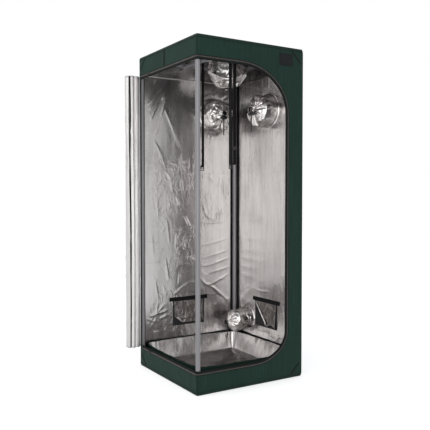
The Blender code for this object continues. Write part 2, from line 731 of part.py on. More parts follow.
def build_door():
    """The open door, gathered into upright folds and hanging at its sewn edge.

    Its outline is an ellipse whose radius drops into a sharp crease between folds:
    r = 1 - crease * (1 - |sin|)^2, and the creases sway a little down its length.
    """
    count = DOOR_FOLDS * DOOR_POINTS_PER_FOLD
    rings = []
    for k in range(DOOR_RINGS + 1):
        z = DOOR_BOTTOM + (DOOR_TOP - DOOR_BOTTOM) * k / DOOR_RINGS
        sway = DOOR_SWAY * math.sin(math.tau * DOOR_SWAY_TURNS_SHARE * k / DOOR_RINGS)
        ring = []
        for i in range(count):
            a = math.tau * i / count
            crease = DOOR_CREASE * (1 - abs(math.sin(a * DOOR_FOLDS / 2))) ** 2
            ring.append((DOOR_CENTRE_X + (DOOR_HALF_WIDTH - crease) * math.cos(a) + sway,
                         DOOR_CENTRE_Y + (DOOR_HALF_DEPTH - crease) * math.sin(a), z))
        rings.append(ring)
    obj = add_object("door_bundle", swept_solid(rings), MYLAR, normals=True)
    seam = Vector((-WIDTH / 2 - SEAM_GAP - DOOR_BEAD_RADIUS, DOOR_SEAM_Y, 0))
    low, high = UP * (DOOR_BOTTOM + DOOR_WEB_INSET), UP * (DOOR_TOP - DOOR_WEB_INSET)
    web = Vector((DOOR_CENTRE_X, DOOR_CENTRE_Y, 0)) - seam
    side = web.cross(UP).normalized() * (FABRIC / 2)
    reach = seam + web * DOOR_WEB_SHARE
    strip = [[seam - side + z, seam + side + z, reach + side + z, reach - side + z]
             for z in (low, high)]
    join(obj, add_tool("door_web", swept_solid(strip)))
    bead = rod_mesh(seam + low, seam + high, DOOR_BEAD_RADIUS, DOOR_BEAD_SIDES)
    join(obj, add_tool("door_bead", bead))


def build_tray():
    """The loose floor tray: a shallow open box that stands inside the floor bars."""
    half_x = FRAME_X - POLE_RADIUS - TRAY_FIT
    half_y = FRAME_Y - POLE_RADIUS - TRAY_FIT
    low = FABRIC + SEAM_GAP
    top = low + TRAY_HEIGHT
    bm = box_mesh((-half_x, -half_y, low), (half_x, half_y, top))
    edges = [e for e in bm.edges if upright(e) or at_height(e, low)]
    bmesh.ops.bevel(bm, geom=edges, offset=TRAY_CORNER, segments=TRAY_STEPS, profile=0.5,
                    affect="EDGES")
    bmesh.ops.delete(bm, geom=[f for f in bm.faces if at_height(f, top)], context="FACES")
    obj = add_object("floor_tray", bm, MYLAR)
    thicken(obj, FABRIC)


# How far along each sleeve its rings stand, and how wide they are, as shares of its length
# and of the way from the neck out to the port's radius
DRUM_LENGTH_SHARES = (0.0, 0.0, 0.06, 0.35, 0.62, 0.74, 0.80, 0.84, 0.89, 0.95, 1.0)
DRUM_RADIUS_SHARES = (1.0, 1.0, 1.0, 1.02, 1.0, 0.86, 0.50, 0.12, 0.0, 0.0, 0.10)
BASKET_LENGTH_SHARES = (0.0, 0.0, 0.06, 0.30, 0.55, 0.68, 0.79, 0.87, 0.90, 0.98, 1.0)
BASKET_RADIUS_SHARES = (1.0, 1.0, 0.99, 1.0, 0.97, 0.80, 0.56, 0.33, 0.0, 0.0, 0.05)
SOCK_LENGTH_SHARES = (0.0, 0.0, 0.08, 0.20, 0.30, 0.45, 0.62, 0.76, 0.85, 0.91, 0.96, 1.0)
SOCK_RADIUS_SHARES = (1.0, 1.0, 0.98, 0.88, 1.0, 1.10, 1.06, 0.84, 0.30, 0.0, 0.0, 0.14)
PLEAT_DEPTH_SHARE = 0.10


def sleeve(name, centre, inward, across, radius, neck, length, droop, lengths, radii):
    """A duct sleeve: a flange on the wall, then a pleated sock gathered to a small neck.

    The radius at each ring is neck + share * (port - neck), and the pleats are a cosine that
    grows from nothing at the wall to its full depth at the neck.
    """
    other = inward.cross(across)
    rings = []
    for i, (along, wide) in enumerate(zip(lengths, radii)):
        base = neck + (radius - neck) * wide
        base += FLANGE_WIDTH if i == 0 else 0.0
        growth = PLEAT_DEPTH_SHARE * along ** 2
        middle = centre + inward * (SLEEVE_FABRIC + SEAM_GAP + length * along)
        middle -= UP * droop * along ** 2
        ring = []
        for k in range(SLEEVE_SEGMENTS):
            a = math.tau * k / SLEEVE_SEGMENTS
            r = base * (1 + growth * math.cos(SLEEVE_PLEATS * a))
            ring.append(middle + (across * math.cos(a) + other * math.sin(a)) * r)
        rings.append(ring)
    obj = add_object(name, open_surface(rings, closed=True), MYLAR)
    thicken(obj, SLEEVE_FABRIC)
    return obj


def build_sleeves():
    """Four sleeves: roof, back, upper right and lower right."""
    inner_x, inner_y = WIDTH / 2 - FABRIC, DEPTH / 2 - FABRIC
    left, forward, right, down = Vector((-1, 0, 0)), Vector((0, -1, 0)), Vector((1, 0, 0)), -UP
    drum = (DRUM_LENGTH_SHARES, DRUM_RADIUS_SHARES)
    sleeve("back_sleeve", Vector((BACK_PORT_X, inner_y, UPPER_PORT_Z)), forward, right,
           UPPER_PORT_RADIUS, NECK_RADIUS, UPPER_SLEEVE_LENGTH, 0.0, *drum)
    sleeve("right_upper_sleeve", Vector((inner_x, RIGHT_PORT_Y, UPPER_PORT_Z)), left, forward,
           UPPER_PORT_RADIUS, NECK_RADIUS, UPPER_SLEEVE_LENGTH, 0.0, *drum)
    sleeve("roof_sleeve", Vector((ROOF_PORT_X, ROOF_PORT_Y, HEIGHT - FABRIC)), down, right,
           ROOF_PORT_RADIUS, ROOF_NECK_RADIUS, ROOF_SLEEVE_LENGTH, 0.0,
           BASKET_LENGTH_SHARES, BASKET_RADIUS_SHARES)
    sleeve("right_lower_sleeve", Vector((inner_x, LOWER_PORT_Y, LOWER_PORT_Z)), left, forward,
           LOWER_PORT_RADIUS, NECK_RADIUS, LOWER_SLEEVE_LENGTH, LOWER_SLEEVE_DROOP,
           SOCK_LENGTH_SHARES, SOCK_RADIUS_SHARES)
    build_roof_tie()


def build_roof_tie():
    """The black cord that closes the roof sleeve, a ring round its neck."""
    share = (BASKET_LENGTH_SHARES[-3] + BASKET_LENGTH_SHARES[-2]) / 2
    ring = ROOF_NECK_RADIUS * (1 + PLEAT_DEPTH_SHARE) + ROOF_TIE_WIRE + SEAM_GAP
    z = HEIGHT - FABRIC - SLEEVE_FABRIC - SEAM_GAP - ROOF_SLEEVE_LENGTH * share
    rings = []
    for k in range(SLEEVE_SEGMENTS):
        a = math.tau * k / SLEEVE_SEGMENTS
        ray = Vector((math.cos(a), math.sin(a), 0))
        middle = Vector((ROOF_PORT_X, ROOF_PORT_Y, z)) + ray * ring
        rings.append([middle + (ray * math.cos(b) + UP * math.sin(b)) * ROOF_TIE_WIRE
                      for b in (math.tau * j / ROOF_TIE_SIDES for j in range(ROOF_TIE_SIDES))])
    bm = open_surface(rings + rings[:1], closed=True)
    bmesh.ops.remove_doubles(bm, verts=bm.verts, dist=SEAM_GAP / 10)
    add_object("roof_sleeve_tie", bm, BLACK_WEBBING, normals=True)


def build_cords_and_locks():
    """A drawcord over each upper neck, its two tails through a cord lock, and the low tail."""
    share = (DRUM_LENGTH_SHARES[-3] + DRUM_LENGTH_SHARES[-2]) / 2
    reach = SLEEVE_FABRIC + SEAM_GAP + FABRIC + UPPER_SLEEVE_LENGTH * share
    back = Vector((BACK_PORT_X, DEPTH / 2 - reach, UPPER_PORT_Z))
    drawcord("back_drawcord", back, Vector((1, 0, 0)), CORD_TAIL)
    cord_lock("back", back, Vector((1, 0, 0)))
    right = Vector((WIDTH / 2 - reach, RIGHT_PORT_Y, UPPER_PORT_Z))
    drawcord("right_drawcord", right, Vector((0, 1, 0)), CORD_TAIL)
    cord_lock("right", right, Vector((0, 1, 0)))
    share = (SOCK_LENGTH_SHARES[-3] + SOCK_LENGTH_SHARES[-2]) / 2
    reach = SLEEVE_FABRIC + SEAM_GAP + FABRIC + LOWER_SLEEVE_LENGTH * share
    low = Vector((WIDTH / 2 - reach, LOWER_PORT_Y, LOWER_PORT_Z - LOWER_SLEEVE_DROOP * share ** 2))
    drawcord("lower_drawcord", low, Vector((0, 1, 0)), LOWER_CORD_TAIL)


def drawcord_route(neck, across, tail):
    """The cord's route: up one tail, over the neck in a half turn and down the other tail."""
    ring = NECK_RADIUS * (1 + PLEAT_DEPTH_SHARE) + CORD_DIAMETER / 2 + CORD_FIT
    half = CORD_SPACING / 2
    low = -LOCK_DROP - CORD_DIAMETER / 2
    bottom = low - tail
    side = [(half, bottom + tail * share) for share in CORD_TAIL_SHARES]
    side += [(half * CORD_LOCK_SPREAD_SHARE, -LOCK_DROP),
             (half * CORD_NECK_SPREAD_SHARE, -ring * CORD_NECK_DROP_SHARE)]
    side += [(ring * math.cos(a), -ring * math.sin(a)) for a in map(math.radians, (45, 22, 0))]
    turns = [(ring * math.cos(a), ring * math.sin(a))
             for a in (math.pi * i / 10 for i in range(1, 10))]
    other = [(-u, v) for u, v in side][::-1]
    return [neck + across * u + UP * v for u, v in side + turns + other]


def drawcord(name, neck, across, tail):
    """A drawcord with its two ends knotted together."""
    points = drawcord_route(neck, across, tail)
    curve = bpy.data.curves.new(name, "CURVE")
    curve.dimensions = "3D"
    curve.bevel_depth = CORD_DIAMETER / 2
    curve.bevel_resolution = 2
    curve.use_fill_caps = True
    spline = curve.splines.new("POLY")
    spline.points.add(len(points) - 1)
    for place, point in zip(spline.points, points):
        place.co = (*point, 1.0)
    guide = bpy.data.objects.new(f"{name}_line", curve)
    CUTTERS.objects.link(guide)
    mesh = bpy.data.meshes.new_from_object(guide.evaluated_get(bpy.context.evaluated_depsgraph_get()))
    bpy.data.objects.remove(guide)
    bm = bmesh.new()
    bm.from_mesh(mesh)
    bmesh.ops.remove_doubles(bm, verts=bm.verts, dist=SEAM_GAP / 10)
    obj = add_object(name, bm, BLACK_WEBBING, normals=True)
    knot = bmesh.new()
    middle = (points[0] + points[-1]) / 2 + UP * KNOT_RADIUS * KNOT_LIFT_SHARE
    bmesh.ops.create_icosphere(knot, subdivisions=1, radius=KNOT_RADIUS,
                               matrix=Matrix.Translation(middle))
    join(obj, add_tool(f"{name}_knot", knot))


def cord_lock(place, neck, across):
    """A cord lock under the neck: a barrel along the given way, and its sprung plunger."""
    seat = neck - UP * (LOCK_DROP + LOCK_RADIUS)
    inward = across.cross(UP)
    wide = CORD_SPACING / 2 + CORD_DIAMETER / 2 + CORD_FIT
    deep = CORD_DIAMETER / 2 + CORD_FIT
    barrel = rod_mesh(seat - across * LOCK_CLOSED_END, seat + across * LOCK_OPEN_END,
                      LOCK_RADIUS, LOCK_SIDES)
    obj = add_object(f"{place}_cord_lock", barrel, BLACK_PLASTIC)
    bore = rod_mesh(seat - across * LOCK_BORE_END, seat + across * (LOCK_OPEN_END + CUT_OVERRUN),
                    LOCK_BORE_RADIUS, LOCK_SIDES)
    cut(obj, add_tool(f"{place}_lock_bore", bore))
    slot = slot_mesh(seat, across, inward, (-wide, wide), deep)
    cut(obj, add_tool(f"{place}_lock_slot", slot))
    head_low = LOCK_OPEN_END + PLUNGER_TRAVEL + SLIDER_FIT
    plunger = rod_mesh(seat - across * PLUNGER_END, seat + across * (head_low + PLUNGER_HEAD / 2),
                       PLUNGER_RADIUS, LOCK_SIDES)
    piston = add_object(f"{place}_lock_plunger", plunger, BLACK_PLASTIC)
    head = rod_mesh(seat + across * head_low, seat + across * (head_low + PLUNGER_HEAD),
                    PLUNGER_HEAD_RADIUS, LOCK_SIDES)
    join(piston, add_tool(f"{place}_plunger_head", head))
    gate = slot_mesh(seat, across, inward, (-wide, wide + PLUNGER_TRAVEL), deep)
    cut(piston, add_tool(f"{place}_plunger_gate", gate))


def slot_mesh(seat, across, inward, span, deep):
    """An upright slot through a cord lock for the two tails."""
    tall = UP * (LOCK_RADIUS + CUT_OVERRUN)
    corners = [(span[0], -deep), (span[1], -deep), (span[1], deep), (span[0], deep)]
    rings = [[seat + across * u + inward * v + lift for u, v in corners] for lift in (-tall, tall)]
    return swept_solid(rings)


def build_vents():
    """A net, a hook strip and a hanging flap for each low vent."""
    back = Vector((BACK_VENT_X, DEPTH / 2 - FABRIC, 0))
    vent("back", back, Vector((1, 0, 0)), Vector((0, -1, 0)))
    right = Vector((WIDTH / 2 - FABRIC, RIGHT_VENT_Y, 0))
    vent("right", right, Vector((0, -1, 0)), Vector((-1, 0, 0)))


def plate(name, seat, across, inward, span, heights, depths, kind):
    """An upright plate given in the wall's own directions."""
    corners = [(span[0], heights[0]), (span[1], heights[0]), (span[1], heights[1]),
               (span[0], heights[1])]
    rings = [[seat + across * u + UP * z + inward * d for u, z in corners] for d in depths]
    return add_object(name, swept_solid(rings), kind, normals=True)


def vent(place, seat, across, inward):
    """One vent; across runs to the viewer's right, and the flap's left corner curls in."""
    half = VENT_WIDTH / 2 + MESH_MARGIN
    net_face = SEAM_GAP + MESH_THICKNESS
    plate(f"{place}_vent_net", seat, across, inward, (-half, half),
          (VENT_BOTTOM - MESH_MARGIN, VENT_TOP + MESH_MARGIN), (SEAM_GAP, net_face), NET)
    strip_low = VENT_TOP + MESH_MARGIN / 2
    strip_face = net_face + SEAM_GAP
    strip = HOOK_STRIP_WIDTH / 2
    plate(f"{place}_hook_strip", seat, across, inward, (-strip, strip),
          (strip_low, strip_low + HOOK_STRIP_HEIGHT),
          (strip_face, strip_face + HOOK_STRIP_THICKNESS), BLACK_WEBBING)
    rows = []
    top, bottom = strip_low - FLAP_HINGE_GAP, VENT_BOTTOM + FLAP_MARGIN
    width = VENT_WIDTH / 2 - FLAP_MARGIN
    for r in range(FLAP_ROWS + 1):
        down = 1 - r / FLAP_ROWS
        row = []
        for c in range(FLAP_COLUMNS + 1):
            u = 2 * c / FLAP_COLUMNS - 1
            curl = max(0.0, 1 - (u + 1) / (2 * FLAP_CURL_WIDTH_SHARE)) * down ** 2
            wave = FLAP_WAVE * down * (1 + math.sin(FLAP_WAVE_TURN_SHARE * u + 1)) / 2
            lift = FLAP_CURL * curl ** FLAP_CURL_POWER_SHARE
            depth = strip_face + FLAP_THICKNESS + wave + lift
            side = u * width + FLAP_SHIFT_SHARE * lift
            height = bottom + (top - bottom) * (1 - down)
            row.append(seat + across * side + inward * depth + UP * height)
        rows.append(row)
    obj = add_object(f"{place}_vent_flap", open_surface(rows), MYLAR)
    thicken(obj, FLAP_THICKNESS)


def build_straps():
    """Two webbing straps folded over the hanging bar, with their buckles and one tri-glide."""
    strap("back", STRAP_BACK_Y, 1)
    strap("front", STRAP_FRONT_Y, -1)
    build_glide("front", STRAP_FRONT_Y, 1)


def strap(place, y, buckle_side):
    """A strap over the bar; the leg on the buckle's side ends in a sewn loop."""
    leg = POLE_RADIUS + SEAM_GAP + WEBBING_THICKNESS / 2
    plain = [(-leg, STRAP_END_Z), (-leg, HANG_BAR_Z)]
    over = [(-leg * math.cos(a), HANG_BAR_Z + leg * math.sin(a))
            for a in (math.pi * i / STRAP_STEPS for i in range(1, STRAP_STEPS))]
    far = [(leg, HANG_BAR_Z), (leg, STRAP_LOOP_Z)]
    middle = leg - STRAP_LOOP_RADIUS
    loop = [(middle + STRAP_LOOP_RADIUS * math.cos(a), STRAP_LOOP_Z - STRAP_LOOP_RADIUS * math.sin(a))
            for a in (math.pi * i / STRAP_STEPS for i in range(1, STRAP_STEPS))]
    sewn = leg - WEBBING_THICKNESS - SEAM_GAP
    closed = STRAP_LOOP_Z + STRAP_LOOP_RADIUS * STRAP_CLOSE_SHARE
    end = [(middle - STRAP_LOOP_RADIUS, STRAP_LOOP_Z), (sewn, closed),
           (sewn, STRAP_LOOP_Z + STRAP_RETURN)]
    line = [Vector((HANG_BAR_X + x * buckle_side, y, z)) for x, z in plain + over + far + loop + end]
    add_object(f"hanging_strap_{place}", ribbon(line, WEBBING_WIDTH, WEBBING_THICKNESS),
               BLACK_WEBBING, normals=True)
    build_buckle(place, Vector((HANG_BAR_X + middle * buckle_side, y, STRAP_LOOP_Z)))


def ribbon(line, width, thickness):
    """A flat band whose width lies along Y and whose middle follows a line in X and Z."""
    rings = []
    side = Vector((0, width / 2, 0))
    for i, here in enumerate(line):
        before, after = line[max(i - 1, 0)], line[min(i + 1, len(line) - 1)]
        first = (here - before).normalized() if i else (after - here).normalized()
        second = (after - here).normalized() if i + 1 < len(line) else first
        along = (first + second).normalized()
        normal = Vector((-along.z, 0, along.x))
        normal *= thickness / 2 / max(along.dot(first), 0.5)
        rings.append([here - normal - side, here + normal - side,
                      here + normal + side, here - normal + side])
    return swept_solid(rings)


def build_buckle(place, axis):
    """A ladder-lock buckle: two windows between round-ended rails, hung by its top bar."""
    half = WEBBING_WIDTH / 2 + WEBBING_FIT
    wide = half + BUCKLE_RAIL
    thick = BUCKLE_THICKNESS / 2
    top = axis.z + thick
    first_low = axis.z - thick - BUCKLE_TOP_WINDOW
    second_high = first_low - BUCKLE_BAR
    second_low = second_high - BUCKLE_LOW_WINDOW
    bottom = second_low - BUCKLE_BAR
    body = rounded_box_mesh((axis.x - thick, axis.y - wide, bottom), (axis.x + thick, axis.y + wide, top),
                            BUCKLE_THICKNESS * ROUNDING_SHARE, 1)
    obj = add_object(f"strap_buckle_{place}", body, BLACK_PLASTIC)
    for name, low, high in (("upper", first_low, axis.z - thick), ("lower", second_low, second_high)):
        window = box_mesh((axis.x - thick - CUT_OVERRUN, axis.y - half, low),
                          (axis.x + thick + CUT_OVERRUN, axis.y + half, high))
        cut(obj, add_tool(f"buckle_{place}_{name}", window))


def build_glide(place, y, side):
    """A tri-glide that the plain leg of a strap runs through."""
    leg = POLE_RADIUS + SEAM_GAP + WEBBING_THICKNESS / 2
    x = HANG_BAR_X + side * leg
    room_x = WEBBING_THICKNESS / 2 + WEBBING_FIT
    room_y = WEBBING_WIDTH / 2 + WEBBING_FIT
    low, high = GLIDE_Z - GLIDE_HEIGHT / 2, GLIDE_Z + GLIDE_HEIGHT / 2
    body = rounded_box_mesh((x - room_x - GLIDE_WALL, y - room_y - GLIDE_WALL, low),
                            (x + room_x + GLIDE_WALL, y + room_y + GLIDE_WALL, high),
                            GLIDE_WALL * GLIDE_ROUNDING_SHARE, 1)
    obj = add_object(f"strap_glide_{place}", body, ZINC)
    room = box_mesh((x - room_x, y - room_y, low - CUT_OVERRUN),
                    (x + room_x, y + room_y, high + CUT_OVERRUN))
    cut(obj, add_tool(f"glide_room_{place}", room))


def build_patch_and_tie():
    """The bare label patch on the front and the tie sewn to the left band."""
    face = -DEPTH / 2 - SEAM_GAP
    bm = box_mesh((PATCH_X - PATCH_WIDTH / 2, face - PATCH_THICKNESS, PATCH_Z - PATCH_HEIGHT / 2),
                  (PATCH_X + PATCH_WIDTH / 2, face, PATCH_Z + PATCH_HEIGHT / 2))
    across = [e for e in bm.edges if abs(e.verts[0].co.y - e.verts[1].co.y) > PATCH_THICKNESS / 2]
    bmesh.ops.bevel(bm, geom=across, offset=PATCH_CORNER, segments=2, profile=0.5, affect="EDGES")
    add_object("label_patch", bm, BLACK_WEBBING)
    face = -WIDTH / 2 - SEAM_GAP
    low = ZIP_TOP_Z + TAPE_WIDTH / 2 + TIE_GAP
    bm = rounded_box_mesh((face - TIE_THICKNESS, TIE_Y - TIE_WIDTH / 2, low),
                          (face, TIE_Y + TIE_WIDTH / 2, WALL_TOP - TIE_GAP),
                          TIE_THICKNESS * ROUNDING_SHARE, 1)
    add_object("door_tie", bm, BLACK_WEBBING)


def main():
    """Build the whole tent."""
    build_poles_and_bars()
    build_corners()
    build_hanging_bar()
    build_cover()
    build_zip()
    build_door()
    build_tray()
    build_sleeves()
    build_cords_and_locks()
    build_vents()
    build_straps()
    build_patch_and_tie()


main()
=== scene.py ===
"""Looks of an indoor grow tent: sewn cloth, film lining, zip, duct sleeves, straps and studio.

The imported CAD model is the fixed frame. Its tubes, corners, clips, buckles and locks stay and get
their finishes here. Everything sewn is made anew as cloth, webbing or cord over its CAD node.
Lengths are in metres, +Z is up, the front is at -Y and the open side doorway at -X.
"""
from __future__ import annotations

import logging
import math
from dataclasses import dataclass
from enum import Enum
from typing import Callable, Sequence

import bpy
import numpy as np
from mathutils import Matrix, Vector


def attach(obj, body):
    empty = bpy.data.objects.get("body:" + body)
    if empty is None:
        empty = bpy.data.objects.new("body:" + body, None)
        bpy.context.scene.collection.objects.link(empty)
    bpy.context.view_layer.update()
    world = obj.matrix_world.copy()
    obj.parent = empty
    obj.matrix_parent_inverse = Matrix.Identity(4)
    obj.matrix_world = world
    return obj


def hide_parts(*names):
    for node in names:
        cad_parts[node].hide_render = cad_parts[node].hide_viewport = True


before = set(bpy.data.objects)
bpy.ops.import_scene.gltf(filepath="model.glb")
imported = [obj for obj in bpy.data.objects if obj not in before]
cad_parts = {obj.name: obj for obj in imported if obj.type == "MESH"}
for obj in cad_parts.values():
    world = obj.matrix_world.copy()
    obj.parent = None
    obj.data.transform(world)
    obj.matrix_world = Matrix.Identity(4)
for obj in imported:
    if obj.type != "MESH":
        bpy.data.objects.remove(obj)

LOG = logging.getLogger("grow_tent")

Array = np.ndarray
Relief = Callable[[Array], Array]
Socket = bpy.types.NodeSocket
Piece = bpy.types.Object
Material = bpy.types.Material

AXIS_X, AXIS_Y, UP = np.eye(3)
CORNERS = ((1, -1), (1, 1), (-1, 1), (-1, -1))

# Places and sizes that more than one class needs, read through the camera fitted to the photograph.
BACK_PORT_X, RIGHT_PORT_Y, UPPER_PORT_Z, UPPER_PORT_RADIUS = 0.150, -0.020, 1.335, 0.083
LOWER_PORT_Y, LOWER_PORT_Z, LOWER_PORT_RADIUS = 0.155, 0.215, 0.050
ROOF_PORT_XY, ROOF_PORT_RADIUS = 0.140, 0.100
BACK_VENT_X, VENT_WIDTH, VENT_LOW, VENT_HIGH = -0.007, 0.185, 0.191, 0.316


class Side(Enum):
    """Which side of the tent a vent is on."""

    BACK = "back"
    RIGHT = "right"


# ---------------------------------------------------------------- colours and shader nodes


def linear(code: str) -> tuple[float, ...]:
    """Linear RGBA, with an alpha of one, of an sRGB hex colour such as "#2B4A3F"."""
    parts = [int(code[i:i + 2], 16) / 255 for i in (1, 3, 5)]
    return (*(p / 12.92 if p <= 0.04045 else ((p + 0.055) / 1.055) ** 2.4 for p in parts), 1.0)


@dataclass(frozen=True)
class Nodes:
    """A node tree under construction."""

    tree: bpy.types.NodeTree

    def link(self, node: bpy.types.Node, sockets: dict[str, object]) -> None:
        """Give a node's inputs their values or their sources.

        Args:
            node: The node.
            sockets: Values or source sockets by the input's name, with underscores for spaces,
                or by "i" and its index.
        """
        for key, value in sockets.items():
            indexed = key[0] == "i" and key[1:].isdigit()
            socket = node.inputs[int(key[1:]) if indexed else key.replace("_", " ")]
            if isinstance(value, Socket):
                self.tree.links.new(value, socket)
            else:
                socket.default_value = value

    def add(self, kind: str, out: int | str = 0, settings: dict | None = None,
            stops: Sequence[tuple[float, str]] = (), **sockets: object) -> Socket | None:
        """Add a node with its settings and links.

        Args:
            kind: The node's type without its ShaderNode prefix.
            out: The output wanted.
            settings: Attributes of the node.
            stops: Positions and hex colours of a colour ramp.
            sockets: Values or sources of its inputs, as for link.

        Returns:
            The output socket, or None for a node that ends its tree.
        """
        node = self.tree.nodes.new("ShaderNode" + kind)
        for key, value in (settings or {}).items():
            setattr(node, key, value)
        if stops:
            marks = node.color_ramp.elements
            while len(marks) < len(stops):
                marks.new(0.5)
            for mark, (spot, code) in zip(marks, stops):
                mark.position, mark.color = spot, linear(code)
        self.link(node, sockets)
        return node.outputs[out] if node.outputs else None


# ---------------------------------------------------------------- finishes

# Scale of a wave texture that has one band a metre, straight or diagonal.
WAVE, SLANTED_WAVE = math.tau / 20, math.tau / 10


@dataclass(frozen=True)
class Finish:
    """A material that is named for what it is, and the pattern that says so."""

    name: str

    def sockets(self, n: Nodes) -> dict[str, object]:
        """Values and patterns of the Principled shader's inputs."""
        raise NotImplementedError

    def build(self) -> Material:
        """Build the material."""
        material = bpy.data.materials.new(self.name)
        material.use_nodes = True
        n = Nodes(material.node_tree)
        n.link(n.tree.nodes["Principled BSDF"], self.sockets(n))
        return material


@dataclass(frozen=True)
class CoatedOxford(Finish):
    """Polyester oxford cloth, woven and then coated: dull, deep green, with faint upright streaks."""

    name: str = "coated_oxford_cloth"
    thread: float = 0.0011  # real threads are 0.4 mm, drawn coarser so that they show
    streak: float = 0.006

    def sockets(self, n: Nodes) -> dict[str, object]:
        """Streaks darken and lighten it, and the weave lifts it by a ninth of a thread."""
        spot = n.add("TexCoord", "Object")
        tall = n.add("Mapping", Vector=spot, Scale=(1, 1, 0.035))
        streaks = n.add("TexNoise", Vector=tall, Scale=1 / self.streak, Detail=4.0, Roughness=0.62)
        slow = n.add("Mapping", Vector=spot, Scale=(1, 1, 0.35))
        broad = n.add("TexNoise", Vector=slow, Scale=7.0, Detail=3.0)
        both = n.add("Math", 0, {"operation": "MULTIPLY_ADD"}, i0=broad, i1=0.45, i2=streaks)
        mixed = n.add("MapRange", i0=both, i1=0.35, i2=1.05)
        weave = n.add("TexWave", 1, {"bands_direction": "Z"}, Vector=spot, Scale=WAVE / self.thread,
                      Distortion=0.6)
        upright = n.add("TexNoise", Vector=tall, Scale=1 / self.thread)
        threads = n.add("Math", i0=weave, i1=upright)
        greens = ((0.0, "#1B2D27"), (0.45, "#213730"), (1.0, "#2A443B"))
        return {"Base Color": n.add("ValToRGB", stops=greens, i0=mixed),
                "Normal": n.add("Bump", Height=threads, Distance=self.thread / 9, Strength=0.55),
                "Roughness": 0.68, "IOR": 1.46, "Specular IOR Level": 0.16}


@dataclass(frozen=True)
class SilverFilm(Finish):
    """Aluminised film laminated to cloth: a soft mirror that takes every crease."""

    name: str = "silver_film_lining"
    bright: str = "#C9C6C5"
    dull: str = "#B0ADAC"
    roughness: float = 0.22
    crumple: float = 0.022  # length of a wrinkle
    crumple_height: float = 0.0010
    metallic: float = 1.0

    def sockets(self, n: Nodes) -> dict[str, object]:
        """A cloudy tone and gloss, then a crumple of ridges here and there with finer wrinkles on it."""
        spot = n.add("TexCoord", "Object")
        tall, folded, short = (n.add("Mapping", Vector=spot, Scale=(1, 1, z)) for z in (0.12, 0.5, 0.35))
        cloud = n.add("TexNoise", Vector=tall, Scale=34.0, Detail=4.0, Roughness=0.6)
        long = n.add("TexNoise", Vector=folded, Scale=0.5 / self.crumple, Detail=3.0, Roughness=0.55,
                     Distortion=0.9)
        off = n.add("Math", 0, {"operation": "SUBTRACT"}, i0=long, i1=0.5)
        ridge = n.add("Math", 0, {"operation": "ABSOLUTE"}, i0=off)
        thin = n.add("MapRange", i0=ridge, i1=0.0, i2=0.07, i3=1.0, i4=0.0)
        patches = n.add("TexNoise", Vector=spot, Scale=5.0)
        where = n.add("MapRange", i0=patches, i1=0.48, i2=0.68)
        wrinkles = n.add("Math", 0, {"operation": "MULTIPLY"}, i0=thin, i1=where)
        fine = n.add("TexNoise", Vector=short, Scale=3.0 / self.crumple, Detail=3.0, Roughness=0.6)
        first = n.add("Bump", Height=wrinkles, Distance=self.crumple_height, Strength=0.6)
        return {"Base Color": n.add("ValToRGB", stops=((0.25, self.dull), (0.75, self.bright)), i0=cloud),
                "Roughness": n.add("MapRange", i0=cloud, i3=self.roughness * 0.8, i4=self.roughness * 1.35),
                "Normal": n.add("Bump", Height=fine, Distance=self.crumple_height / 4, Strength=0.7,
                                Normal=first),
                "Metallic": self.metallic}


@dataclass(frozen=True)
class Grained(Finish):
    """A hard surface: one noise chooses its tone and gloss, and a fine one may lift it.

    Attributes:
        tones: Positions and hex colours along the noise.
        noise: Its cells per metre, octaves, weight of the finer ones and stretch along z.
        gloss: Roughness where the noise is low and high, if it varies.
        relief: The fine grain's cells per metre, height and strength.
        fixed: Values of further inputs.
    """

    tones: tuple[tuple[float, str], ...] = ()
    noise: tuple[float, float, float, float] = (60.0, 2.0, 0.5, 1.0)
    gloss: tuple[float, float] | None = None
    relief: tuple[float, float, float] | None = None
    fixed: tuple[tuple[str, float], ...] = ()

    def sockets(self, n: Nodes) -> dict[str, object]:
        """Tone and gloss follow one noise, the relief its own."""
        cells, octaves, weight, tall = self.noise
        spot = n.add("TexCoord", "Object")
        place = n.add("Mapping", Vector=spot, Scale=(1, 1, tall))
        tone = n.add("TexNoise", Vector=place, Scale=cells, Detail=octaves, Roughness=weight)
        found = {"Base Color": n.add("ValToRGB", stops=self.tones, i0=tone)}
        if self.gloss:
            found["Roughness"] = n.add("MapRange", i0=tone, i3=self.gloss[0], i4=self.gloss[1])
        if self.relief:
            grain = n.add("TexNoise", Vector=spot, Scale=self.relief[0], Roughness=weight)
            found["Normal"] = n.add("Bump", Height=grain, Distance=self.relief[1], Strength=self.relief[2])
        return found | dict(self.fixed)


@dataclass(frozen=True)
class WovenTape(Finish):
    """Woven polypropylene tape: matt black with ribs across its length, read from the tape's own UV."""

    name: str = "woven_tape"
    colour: str = "#070708"
    light: str = "#121114"
    rib: float = 0.0016

    def sockets(self, n: Nodes) -> dict[str, object]:
        """Ribs across it, crossed by slanted bands as in a herringbone."""
        along = n.add("TexCoord", "UV")
        ribs = n.add("TexWave", 1, {"bands_direction": "Y"}, Vector=along, Scale=WAVE / self.rib,
                     Distortion=0.4)
        slant = n.add("TexWave", 1, {"bands_direction": "DIAGONAL"}, Vector=along,
                      Scale=SLANTED_WAVE / (self.rib * 1.4), Distortion=0.2)
        both = n.add("Math", 0, {"operation": "MULTIPLY"}, i0=ribs, i1=slant)
        return {"Base Color": n.add("ValToRGB", stops=((0.1, self.colour), (0.9, self.light)), i0=both),
                "Normal": n.add("Bump", Height=both, Distance=self.rib / 6, Strength=0.7),
                "Roughness": 0.8, "IOR": 1.49, "Specular IOR Level": 0.25}


